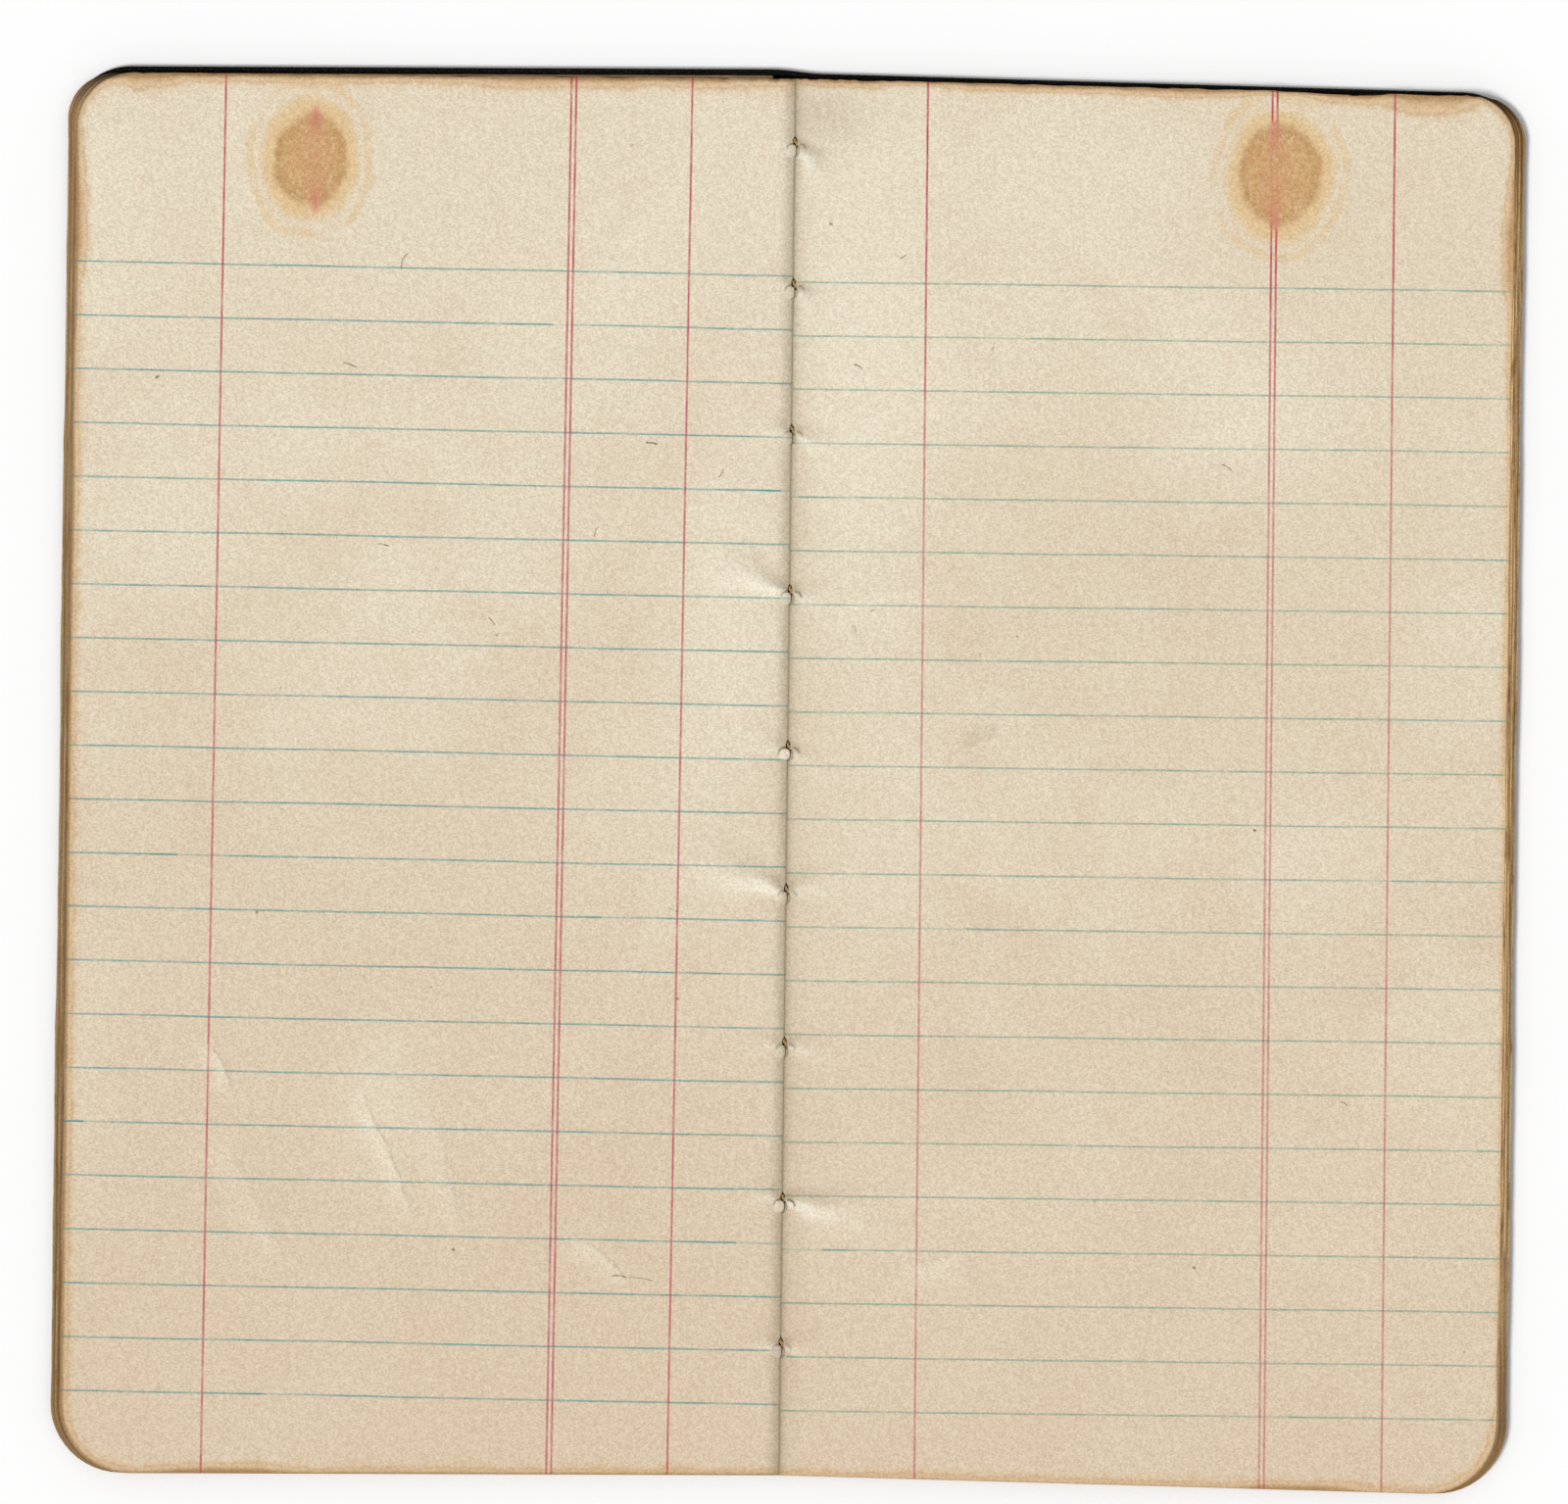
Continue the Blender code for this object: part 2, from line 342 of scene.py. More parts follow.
class Nodes:
    """Adds nodes to one tree, with values or signals on their inputs."""

    def __init__(self, tree):
        self.tree = tree

    def add(self, kind, sockets=None, **settings):
        node = self.tree.nodes.new(kind)
        for name, value in settings.items():
            setattr(node, name, value)
        for key, value in (sockets or {}).items():
            self.join(value, node.inputs[key])
        return node

    def join(self, value, socket):
        if isinstance(value, Signal):
            self.tree.links.new(value.socket, socket)
        elif socket.type == "RGBA":
            socket.default_value = (*value, 1.0)
        else:
            socket.default_value = value

    def get(self, kind, sockets=None, output=0, **settings):
        """One output of a new node."""
        return Signal(self, self.add(kind, sockets, **settings).outputs[output])

    def outputs(self, node):
        """All outputs of a node by name, with underscores for spaces."""
        named = {socket.name.lower().replace(" ", "_"): socket for socket in node.outputs}
        return SimpleNamespace(**{name: Signal(self, socket) for name, socket in named.items()})

    def calc(self, operation, *values):
        return self.get("ShaderNodeMath", dict(enumerate(values)), operation=operation)

    def vector(self, operation, *values):
        output = "Value" if operation == "LENGTH" else "Vector"
        return self.get("ShaderNodeVectorMath", dict(enumerate(values)), output, operation=operation)

    def mix(self, share, first, second, blend_type="MIX"):
        sockets = {0: share, 6: first, 7: second}
        return self.get("ShaderNodeMix", sockets, 2, data_type="RGBA", blend_type=blend_type)

    def mark(self, name):
        """A mark that is stored on the points of a piece."""
        return self.get("ShaderNodeAttribute", None, "Fac", attribute_name=name)

    def flat_place(self, seed):
        """Where a point lies on its sheet, in mm, with a seed as its third part."""
        spot = self.get("ShaderNodeAttribute", None, "Vector", attribute_name="flat_place")
        return self.vector("MULTIPLY_ADD", spot, (1 / MM, 1 / MM, 0), (0, 0, seed))

    def group(self, make, **values):
        """Outputs of a shared effect, whose node group is made when it is first used."""
        name = label(make.__name__)
        tree = bpy.data.node_groups.get(name) or make(name)
        node = self.add("ShaderNodeGroup", node_tree=tree)
        for word, value in values.items():
            self.join(value, node.inputs[label(word)])
        return self.outputs(node)

    def give(self, **values):
        """Sends values out of a node group, which is then done."""
        out = self.add("NodeGroupOutput").inputs
        for word, value in values.items():
            self.join(value, out[label(word)])
        return self.tree


def label(word):
    """A name as the node editor shows it."""
    return word.replace("_", " ").capitalize()


def new_group(name, inputs, outputs):
    """Builder and inputs of a new node group. Its sockets are listed by their kind."""
    tree = bpy.data.node_groups.new(name, "ShaderNodeTree")
    for in_out, listed in (("INPUT", inputs), ("OUTPUT", outputs)):
        for kind, words in listed.items():
            for word in words.split():
                tree.interface.new_socket(label(word), in_out=in_out, socket_type=f"NodeSocket{kind}")
    nodes = Nodes(tree)
    return nodes, nodes.outputs(nodes.add("NodeGroupInput"))


def paper_body(name):
    """Cream ledger paper: soft clouds, fine grain, short fibres and specks. Place is in mm."""
    outputs = {"Color": "colour shade", "Float": "height"}
    nodes, given = new_group(name, {"Vector": "place", "Color": "body pale warm speck"}, outputs)
    place = given.place
    cloud = place.noise(0.022, 3.0, 0.55).span(0.42, 0.64)
    warm = place.moved(31, 7, 3).noise(0.07, 3.0, 0.6).span(0.48, 0.72)
    tone = given.body.toward(given.pale, cloud * 0.5).toward(given.warm, warm * 0.45)
    grain = place.scaled(1.0, 1.25, 1.0).noise(3.9, 2.0, 0.6)
    felt = place.scaled(1.0, 0.6, 1.0).noise(1.1)
    # The grain's colour: partly the paper's own mottle, partly painted light and shade of its relief.
    shade = nodes.mix(grain.span(0.3, 0.7), (0.88, 0.85, 0.8), (1.115, 1.135, 1.16))
    hair = abs(place.noise(0.55, 1.0, 0.4) - 0.5).span(0.004, 0.0015)
    tuft = place.moved(5, 61, 9).noise(0.34, 2.0, 0.6).span(0.66, 0.7)
    cells = nodes.outputs(nodes.add("ShaderNodeTexVoronoi", {"Vector": place, "Scale": 0.16}))
    chance = cells.color.axes()[0].span(0.8, 0.95)
    dot = cells.distance.span(0.045, 0.02) * chance
    speck = (hair * tuft * 0.55).most(dot * 0.75)
    return nodes.give(
        colour=tone.toward(given.speck, speck), shade=shade, height=grain * 0.6 + felt
    )


def ledger_ruling(name):
    """Masks of the blue feint lines and the red column lines of one page. Lengths are in mm."""
    values = "across down pitch last_line feint_width margin_width"
    values += " margin_1 margin_2 margin_3 margin_4"
    nodes, given = new_group(name, {"Vector": "place", "Float": values}, {"Float": "feint margin"})
    down = given.down + (given.place.noise(0.05) - 0.5) * 0.22
    line = nodes.calc("ROUND", down / given.pitch).most(0.0).least(given.last_line)
    off = abs(down - line * given.pitch)
    feint = off.span(given.feint_width * 0.9, given.feint_width * 0.2)
    luck = nodes.get("ShaderNodeTexWhiteNoise", {"W": line}, "Value", noise_dimensions="1D")
    before = luck * 190.0 - given.across
    gap = before.span(9.0, 1.0) * before.span(-0.05, 0.05)
    fresh = before.span(-8.0, 0.0) * before.span(0.05, -0.05)
    ink = given.place.scaled(0.35, 3.0, 1.0).noise(0.8, 3.0, 0.7).span(0.28, 0.62, 0.5, 1.0)
    ink = ink * (1.0 - gap * 0.45) + fresh * 0.3
    near = abs(given.across - given.margin_1)
    for margin in (given.margin_2, given.margin_3, given.margin_4):
        near = near.least(abs(given.across - margin))
    red = near.span(given.margin_width * 0.85, given.margin_width * 0.2)
    worn = given.place.scaled(3.0, 0.5, 1.0).noise(0.7, 3.0, 0.7).span(0.26, 0.6, 0.55, 1.0)
    return nodes.give(feint=feint * ink, margin=red * worn)


def tide_stain(name):
    """A dried round stain: a dark core with pale flecks, a yellow halo and a faint outer ring."""
    inputs = {"Vector": "place centre reach", "Float": "halo_reach"}
    nodes, given = new_group(name, inputs, {"Float": "core tide halo ring fleck"})
    place = given.place
    away = nodes.vector("SUBTRACT", place, given.centre)
    away = nodes.vector("DIVIDE", away, given.reach).scaled(1, 1, 0)
    uneven = place.noise(0.16, 3.0, 0.55) - 0.5
    fuzz = place.noise(1.6, 2.0, 0.6) - 0.5
    reach = nodes.vector("LENGTH", away) + uneven * 0.5 + fuzz * 0.14
    body = place.noise(1.7, 4.0, 0.7).span(0.3, 0.68, 0.5, 1.0)
    core = reach.span(1.1, 0.86) * body
    threads = place.scaled(3.4, 1.5, 1.0).noise(1.3).span(0.57, 0.66)
    tufts = place.noise(0.32).span(0.46, 0.6)
    patchy = place.noise(0.22).span(0.3, 0.6)
    return nodes.give(
        core=core,
        tide=abs(reach - 0.88).span(0.24, 0.0) * core,
        halo=reach.span(given.halo_reach + 0.06, given.halo_reach - 0.3),
        ring=abs(reach - (given.halo_reach + 0.17)).span(0.17, 0.03) * patchy,
        fleck=threads * tufts * core,
    )


def crisp_patch(name):
    """Turns a soft mask into a patch with an uneven but crisp edge. Place is in mm."""
    inputs = {"Vector": "place", "Float": "amount grain"}
    nodes, given = new_group(name, inputs, {"Float": "patch outline depth"})
    amount = given.amount + (given.place.noise(given.grain, 4.0, 0.65) - 0.5) * 0.5
    return nodes.give(
        patch=amount.span(0.14, 0.5),
        outline=abs(amount - 0.42).span(0.1, 0.0),
        depth=amount.span(0.5, 1.3),
    )


STROKE = {"Vector": "place start run", "Float": "bend width"}


def stroke_place(nodes, given):
    """How far a place lies along a bent stroke, as a share of its run, and how far beside it."""
    x, y, _ = nodes.vector("SUBTRACT", given.place, given.start).axes()
    run_x, run_y, _ = given.run.axes()
    span = nodes.vector("LENGTH", given.run)
    along = (x * run_x + y * run_y) / (span * span)
    beside = (x * run_y - y * run_x) / span
    return along, beside + along * (1.0 - along) * given.bend


def paper_crease(name):
    """Height of one creased line, from its start, along its run. Lengths are in mm."""
    nodes, given = new_group(name, STROKE, {"Float": "height"})
    along, beside = stroke_place(nodes, given)
    beside = beside + (given.place.noise(0.3, 3.0) - 0.5) * 1.2
    step = beside.span(given.width * -1.0, 0.0) * beside.span(given.width * 0.2, 0.0)
    return nodes.give(height=step * (along.span(-0.05, 0.3) * along.span(1.05, 0.7)))


def fine_stroke(name):
    """A short curved hair or speck on the paper. Lengths are in mm."""
    nodes, given = new_group(name, STROKE, {"Float": "mask"})
    along, beside = stroke_place(nodes, given)
    line = abs(beside).span(given.width, given.width * 0.3)
    ends = along.span(-0.05, 0.15) * along.span(1.05, 0.85)
    uneven = given.place.noise(2.0).span(0.3, 0.55, 0.4, 1.0)
    return nodes.give(mask=line * ends * uneven)


def pebbled_grain(name):
    """Pebbled leather grain as a height, with the dark crevices between pebbles. Place is in mm."""
    inputs = {"Vector": "place", "Float": "scale"}
    nodes, given = new_group(name, inputs, {"Float": "height crevice"})
    cells = {"Vector": given.place.warped(1.2, 0.5, 0.5, 0.5), "Scale": given.scale}
    edge = nodes.get("ShaderNodeTexVoronoi", cells, "Distance", feature="DISTANCE_TO_EDGE")
    crevice = edge.span(0.16, 0.0)
    fine = given.place.noise(6.0, 3.0, 0.6)
    return nodes.give(height=fine * 0.35 - crevice, crevice=crevice)


def plain_weave(name):
    """Over-and-under weave of two sets of yarns as a height. Place is in mm."""
    inputs = {"Vector": "place", "Float": "yarns"}
    nodes, given = new_group(name, inputs, {"Float": "height slub"})
    place = given.place.warped(0.8, 0.12, 0.12, 0.0)
    x, y, _ = place.axes()
    turn = given.yarns * math.pi
    warp, weft = (nodes.calc("SINE", part * turn) for part in (x, y))
    slub = place.scaled(1.0, 0.15, 1.0).noise(2.5).span(0.35, 0.65)
    return nodes.give(height=abs(warp) + abs(weft) + warp * weft * 0.5, slub=slub)


def new_material(name, roughness, specular):
    """A material, the builder of its nodes and the inputs of its shader."""
    material = bpy.data.materials.new(name)
    material.use_nodes = True
    shader = material.node_tree.nodes["Principled BSDF"].inputs
    shader["Roughness"].default_value = roughness
    shader["Specular IOR Level"].default_value = specular
    return material, Nodes(material.node_tree), shader


def wire(nodes, shader, tone, height, strength, depth):
    """Gives a shader its colour, and a bump where a height of one stands as high as depth."""
    nodes.join(tone, shader["Base Color"])
    bump = {"Strength": strength, "Distance": depth, "Height": height}
    nodes.join(nodes.get("ShaderNodeBump", bump), shader["Normal"])


# Print and marks of the pages


# What the left and the right page differ in. Lengths are in mm. Places are x from the fold and y
# from the head, which is negative below it.
PRINT = {
    # Ruling: the first blue line below the head, the fall of the blue lines, the lean of the red
    # ones, and how far the red ones lie from the fold.
    "first": (23.41, 24.08),
    "fall": (-0.00906, 0.00155),
    "lean": (0.0064, 0.002),
    "margins": ((12.2, 25.94, 26.52, 67.42), (15.67, 56.48, 57.06, 70.97)),
    # Stain: its middle, its half width and height, its halo in such halves, and where red ink ran.
    "stain": ((-57.4, -10.25), (57.5, -10.9)),
    "reach": ((4.5, 5.7), (5.05, 5.95)),
    "halo": (1.42, 1.4),
    "bleed": (-56.7, 56.8),
    # Shares: blue ink, red ink down the page and at its head, pale head, soil at the edges' tail.
    "feint": (0.74, 0.64),
    "margin": ((0.8, 0.9), (0.62, 0.95)),
    "pale_head": (0.4, 0.25),
    "tail_soil": (0.35, 1.0),
}
# Creases and hairs of the top pages: start, run, bend, width and strength.
CREASES = {
    "left": [
        ((-43.6, -136.3), (-7.6, 17.3), -2.0, 2.4, 0.4),
        ((-65.2, -121.0), (-3.4, 6.6), -0.8, 2.6, 0.4),
        ((-38.0, -139.0), (-5.0, 19.0), -1.5, 4.0, 0.22),
        ((-58.6, -142.0), (-9.0, 17.0), -1.0, 4.5, 0.22),
        ((-18.0, -143.0), (-8.0, 5.5), -3.0, 3.2, 0.35),
    ],
    "right": [
        ((19.0, -59.5), (-16.0, -2.5), 2.0, 5.0, 0.2),
        ((22.0, -138.5), (-8.0, -2.5), 1.5, 3.5, 0.3),
        ((58.0, -38.0), (-18.0, -6.0), 2.0, 6.0, 0.2),
    ],
}
HAIRS = {
    "left": [
        ((-46.4, -23.2), (0.8, 2.0), 1.2, 0.1, 0.8),
        ((-53.2, -34.3), (1.7, -0.6), 0.4, 0.11, 0.8),
        ((-17.3, -43.3), (1.5, -0.25), 0.2, 0.16, 1.0),
        ((-48.9, -55.7), (1.5, -0.3), 0.3, 0.12, 0.8),
        ((-35.7, -64.2), (0.9, -1.0), 0.3, 0.1, 0.7),
        ((-23.2, -54.6), (0.5, 1.3), 0.5, 0.1, 0.6),
        ((-75.4, -36.4), (0.5, 0.3), 0.1, 0.2, 0.8),
        ((-39.0, -139.0), (0.35, -0.3), 0.0, 0.25, 0.8),
        ((-14.0, -98.4), (1.3, -0.5), 0.3, 0.1, 0.7),
        ((-18.3, -142.2), (3.2, -0.4), 0.5, 0.1, 0.6),
        ((-20.2, -142.0), (2.0, -0.2), 0.3, 0.14, 0.9),
        ((-8.6, -47.4), (0.6, 1.0), -0.3, 0.1, 0.6),
    ],
    "right": [
        ((7.2, -33.8), (1.1, -0.6), 0.6, 0.12, 0.8),
        ((12.4, -21.2), (0.9, 0.5), -0.4, 0.1, 0.7),
        ((50.9, -45.1), (1.3, -0.8), 0.5, 0.11, 0.8),
        ((20.6, -78.4), (4.4, 1.6), 0.6, 1.3, 0.13),
        ((55.2, -88.3), (0.35, -0.15), 0.0, 0.18, 0.9),
        ((48.7, -140.2), (0.35, -0.2), 0.0, 0.2, 0.9),
        ((4.2, -17.1), (0.4, -0.2), 0.0, 0.25, 0.6),
        ((66.0, -120.4), (0.8, -0.5), 0.3, 0.1, 0.7),
        ((9.6, -63.0), (0.6, 0.15), 0.2, 0.13, 0.9),
        ((7.6, -64.6), (0.2, -1.0), 0.2, 0.4, 0.2),
        ((26.9, -65.8), (0.25, 0.1), 0.0, 0.16, 0.8),
    ],
}


def paper(nodes, place, body, pale, warm):
    return nodes.group(
        paper_body, place=place, body=body, pale=pale, warm=warm, speck=colours().fibre
    )


def strokes(nodes, place, make, listed):
    """Effect and strength of each listed hair or crease."""
    for (x, y), run, bend, width, strength in listed:
        shape = {"start": (x, head() / MM + y, 0.0), "run": (*run, 0.0), "bend": bend, "width": width}
        yield nodes.group(make, place=place, **shape), strength


def rim_tone(nodes, place, below, side, number, tail_soil):
    """Colour of a leaf's trimmed edge: blotched, soiled at both ends and darkened to near black at
    the head.
    """
    ink = colours()
    shade = ((number * 37) % 11) / 10
    soiled = [(0.7 + 0.55 * shade) * part for part in ink.edge_soiled]
    lit = 1.0
    # On the right the edges are painted lighter, the upper leaves most: painted light against the
    # shade their steps lie in.
    if side == "right":
        shade = 0.35 + 0.3 * shade
        lit = 1.7 + 1.3 * math.exp((2 - number) / 2)
    pairs = zip(ink.edge_light, ink.edge_dark)
    clean = [lit * (dark + (light - dark) * shade) for light, dark in pairs]
    blotch = place.scaled(0.15, 1.0, 1.0).noise(0.17, 3.0, 0.6).span(0.46, 0.68)
    ends = below.span(22.0, 5.0).most(below.span(140.0, 156.0, 0.0, tail_soil))
    tone = nodes.mix(blotch.most(ends) * 0.8, clean, soiled)
    return tone.toward(ink.edge_black, below.span(5.5, 0.8, 0.0, 0.85))


def page_material(side, number):
    """Ruled, stained and toned paper of one leaf. The stain fades with depth in the book."""
    ink = colours()
    page = {key: pair[side == "right"] for key, pair in PRINT.items()}
    top = number == 1
    name = f"paper_{side}_{number:02d}"
    material, nodes, shader = new_material(name, roughness=0.86, specular=0.25)
    seed = number * 7.3 + (40.0 if side == "right" else 0.0)
    place = nodes.flat_place(seed)
    x, y, _ = place.axes()
    below = head() / MM - y
    out = x * SIDES[side]
    sheet = paper(nodes, place, ink.paper, ink.paper_pale, ink.paper_warm)
    toned = nodes.group(crisp_patch, place=place, amount=nodes.mark("toning"), grain=0.5)
    rules = nodes.group(
        ledger_ruling,
        place=place,
        across=out - below * page["lean"],
        down=below - out * page["fall"] - page["first"],
        pitch=sizes().feint_pitch / MM,
        last_line=sizes().feint_count - 1.0,
        feint_width=sizes().feint_width / MM,
        margin_width=sizes().margin_width / MM,
        **{f"margin_{i}": margin for i, margin in enumerate(page["margins"], 1)},
    )
    stain_x, stain_y = page["stain"]
    stain = nodes.group(
        tide_stain,
        place=place,
        centre=(stain_x, head() / MM + stain_y, seed),
        reach=(*page["reach"], 1.0),
        halo_reach=page["halo"],
    )
    share = 0.9 ** (number - 1) if number < 4 else 0.25
    core = stain.core * share
    dry = 1.0 - core * 0.85
    reach = abs((below + stain_y) / page["reach"][1])
    lens = abs(x - page["bleed"]).span((1.45 - reach) * 2.0, 0.0)
    lens = lens * reach.span(1.2, 1.0) * reach.span(0.3, 0.95, 0.24, 1.0)
    tone = sheet.colour.layered(
        (ink.paper_pale, below.span(70.0, -5.0, 0.0, page["pale_head"])),
        (ink.paper_warm, below.span(55.0, 185.0, 0.0, 0.75)),
        # Paler paper, and painted highlight where the paper's rolls catch the light.
        (ink.paper_pale, nodes.mark("pale")),
        (ink.toning_light, toned.patch * 0.75),
        (ink.toning_dark, toned.outline * 0.2),
        (ink.toning_dark, toned.depth * 0.85),
        (getattr(ink, f"feint_{side}"), rules.feint * page["feint"]),
        (ink.stain_halo, stain.halo * (0.95 * share)),
        (ink.stain_halo, stain.ring * (0.6 * share)),
        (ink.margin, rules.margin * (dry * below.span(60.0, 15.0, *page["margin"]))),
        (ink.stain, core),
        (ink.toning_dark, stain.tide * (0.35 * share)),
        (ink.stain_fleck, stain.fleck * 0.75),
        (ink.bleed, lens * (0.62 * share)),
    )
    for hair, strength in strokes(nodes, place, fine_stroke, HAIRS[side] if top else ()):
        tone = tone.toward(ink.fibre, hair.mask * strength)
    if top:
        # Painted highlight on the puckers' ridges and tongues, and painted shade on their far flanks
        # and round the holes.
        tone = tone.layered(
            (ink.soil, nodes.mark("soiled") * 0.35), (ink.glint, nodes.mark("rubbed") * 0.75)
        )
    tone = tone.layered(
        (rim_tone(nodes, place, below, side, number, page["tail_soil"]), nodes.mark("rim")),
        # Dust and painted shade beside the fold.
        (ink.gutter, nodes.mark("gutter")),
        # Painted shade in the torn slits and inside the holes.
        (ink.gash if top else ink.hole, nodes.mark("gash")),
    )
    height = sheet.height * 0.15
    for crease, strength in strokes(nodes, place, paper_crease, CREASES[side] if top else ()):
        height = height + crease.height * (0.3 * strength)
        # Painted highlight along the crease's gentle flank.
        tone = tone.toward(ink.glint, crease.height * (0.65 * strength))
    wire(nodes, shader, tone.shaded(sheet.shade), height, strength=1.0, depth=MM)
    return material


# Sheets of paper, cloth and board

CORNER_ROWS = 13
LEAST_STEP = 0.002 * MM
STITCH_ABOVE = 2.2 * MM
STITCH_BELOW = 2.4 * MM


def bell(value, width=1.0):
    """1 at zero, falling softly to both sides."""
    return np.exp(-((value / width) ** 2))


def plateau(value, width):
    """1 around zero, falling steeply at a width to both sides."""
    return np.exp(-((value / width) ** 4))


def decay(distance, reach):
    """1 at no distance, falling by the same share over each reach."""
    return np.exp(-distance / reach)


def rise(value, low, high):
    """Smooth step from 0 at low to 1 at high."""
    share = np.clip((value - low) / (high - low), 0, 1)
    return share * share * (3 - 2 * share)


def arch(up, middle, half):
    """Half an ellipse over a stretch of the fold: 1 at its middle, 0 at its ends."""
    return np.sqrt(np.clip(1 - ((up - middle) / half) ** 2, 0, 1))


def wave(along, seed, lengths_mm, heights_mm):
    """Uneven wave along an edge, made of sines with seeded phases."""
    rng = np.random.default_rng(seed)
    total = np.zeros_like(along)
    for span, height in zip(lengths_mm, heights_mm):
        total = total + height * MM * np.sin(2 * math.pi * (along / (span * MM) + rng.random()))
    return total


class Outline:
    """Half of a flat sheet, from the fold to its fore-edge, with two round outer corners."""

    def __init__(self, width, low, high, low_corner, high_corner):
        self.width = width
        self.low, self.high = low, high
        self.low_corner, self.high_corner = low_corner, high_corner

    def corners(self, up):
        """Each corner's radius, and how far a height lies past its middle."""
        yield self.low_corner, self.low + self.low_corner - up
        yield self.high_corner, up - (self.high - self.high_corner)

    def rows(self, step, fine=None):
        """Heights of the rows, closer together at the corners and, where fine, at the stitches."""
        turns = 1 - np.cos(np.linspace(0, math.pi / 2, CORNER_ROWS))
        first, last = self.low + self.low_corner, self.high - self.high_corner
        rows = [self.low + self.low_corner * turns, self.high - self.high_corner * turns]
        rows.append(np.arange(first, last, step))
        for place in stitch_places() if fine else ():
            rows.append(np.arange(place - STITCH_BELOW, place + STITCH_ABOVE, fine))
        rows = np.unique(np.concatenate(rows))
        least = 0.35 * (fine or step)
        kept = [rows[0]]
        for row in rows[1:-1]:
            if row - kept[-1] > (least if first <= row <= last else LEAST_STEP):
                kept.append(row)
        return np.array(kept + [rows[-1]])

    def reach(self, rows):
        """How far each row reaches from the fold."""
        reach = np.full_like(rows, self.width)
        for corner, past in self.corners(rows):
            past = np.clip(past, 0, corner)
            reach -= corner - np.sqrt(np.maximum(corner ** 2 - past ** 2, 0))
        return reach

    def lean(self, rows):
        """How far the lean of the fore-edges shifts each row to the right."""
        return sizes().fore_lean * (rows - (self.low + self.high) / 2)

    def distance(self, across, up):
        """Distance of points of the sheet from its trimmed edges."""
        near = np.minimum(self.width - across, np.minimum(up - self.low, self.high - up))
        for corner, past in self.corners(up):
            out = across - (self.width - corner)
            curved = np.minimum(near, corner - np.hypot(out, past))
            near = np.where((out > 0) & (past > 0), curved, near)
        return np.maximum(near, 0)


def columns(width, first, growth, largest, last):
    """Shares of a sheet's width where its columns lie, closer together at the fold and fore-edge."""
    places = [0.0]
    step = first
    while places[-1] < width - 6 * last - largest:
        places.append(places[-1] + step)
        step = min(step * growth, largest)
    rest = np.linspace(places[-1], width - 5 * last, 3)[1:]
    return np.concatenate([places, rest, np.linspace(width - 4 * last, width, 5)]) / width


def spread(inner, outer, shares):
    """Distances from the fold, for each row from its inner to its outer end."""
    return inner[:, None] + (outer - inner)[:, None] * shares[None, :]


def border(index):
    """Indices round the border of a grid."""
    return np.concatenate([index[0, :-1], index[:-1, -1], index[-1, :0:-1], index[:0:-1, 0]])


def thin_sheet(name, flat, top, bottom, flip, marks, material):
    """Closed sheet over a flat grid, between two heights, with its marks stored on its points."""
    rows, count = flat.shape[:2]
    total = rows * count
    index = np.arange(total).reshape(rows, count)
    quads = np.stack([index[:-1, :-1], index[:-1, 1:], index[1:, 1:], index[1:, :-1]], -1)
    quads = quads.reshape(-1, 4)
    loop = border(index)
    following = np.roll(loop, -1)
    rim = np.stack([loop, loop + total, following + total, following], -1)
    faces = np.concatenate([quads, quads[:, ::-1] + total, rim])
    if flip:
        faces = faces[:, ::-1]
    layers = [np.concatenate([flat, height[..., None]], -1) for height in (top, bottom)]
    points = np.concatenate(layers).reshape(-1, 3)
    mesh = bpy.data.meshes.new(name)
    mesh.from_pydata(points.tolist(), [], faces.tolist())
    smooth = np.ones(len(faces), bool)
    smooth[2 * len(quads):] = False
    mesh.polygons.foreach_set("use_smooth", smooth)
    add_marks(mesh, {key: np.tile(value.reshape(-1), 2) for key, value in marks.items()})
    add_bake_map(mesh, points, total)
    return new_piece(name, mesh, material)


def add_marks(mesh, marks):
    """Stores where each point lies at rest, and each named mark."""
    places = np.empty(len(mesh.vertices) * 3, np.float32)
    mesh.vertices.foreach_get("co", places)
    mesh.attributes.new("flat_place", "FLOAT_VECTOR", "POINT").data.foreach_set("vector", places)
    for key, value in marks.items():
        layer = mesh.attributes.new(key, "FLOAT", "POINT")
        layer.data.foreach_set("value", value.astype(np.float32))


def add_bake_map(mesh, points, upper_count):
    """Flat map of a sheet: upper face on the left half, lower face on the right half."""
    low = points.min(0)
    size = points.max(0) - low
    corners = np.empty(len(mesh.loops), np.int32)
    mesh.loops.foreach_get("vertex_index", corners)
    spots = (points[corners, :2] - low[:2]) / size[:2]
    under = corners >= upper_count
    spots[:, 0] = spots[:, 0] * 0.49 + np.where(under, 0.505, 0.005)
    layer = mesh.uv_layers.new(name="OFBake")
    layer.data.foreach_set("uv", spots.astype(np.float32).reshape(-1))


def new_piece(name, mesh, material):
    mesh.materials.append(material)
    piece = bpy.data.objects.new(name, mesh)
    bpy.context.scene.collection.objects.link(piece)
    return piece


def finish_piece(piece, body, slot, *nodes):
    """Sets a piece on its body, in place of CAD nodes. Its record slot is not used."""
    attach(piece, body)
    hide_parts(*nodes)


def bend_at_spine(piece, slot, *nodes):
    """Bakes a piece's place into its points, in place of CAD nodes. Its record slot is not used."""
    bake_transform(piece)
    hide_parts(*nodes)


# Leaves


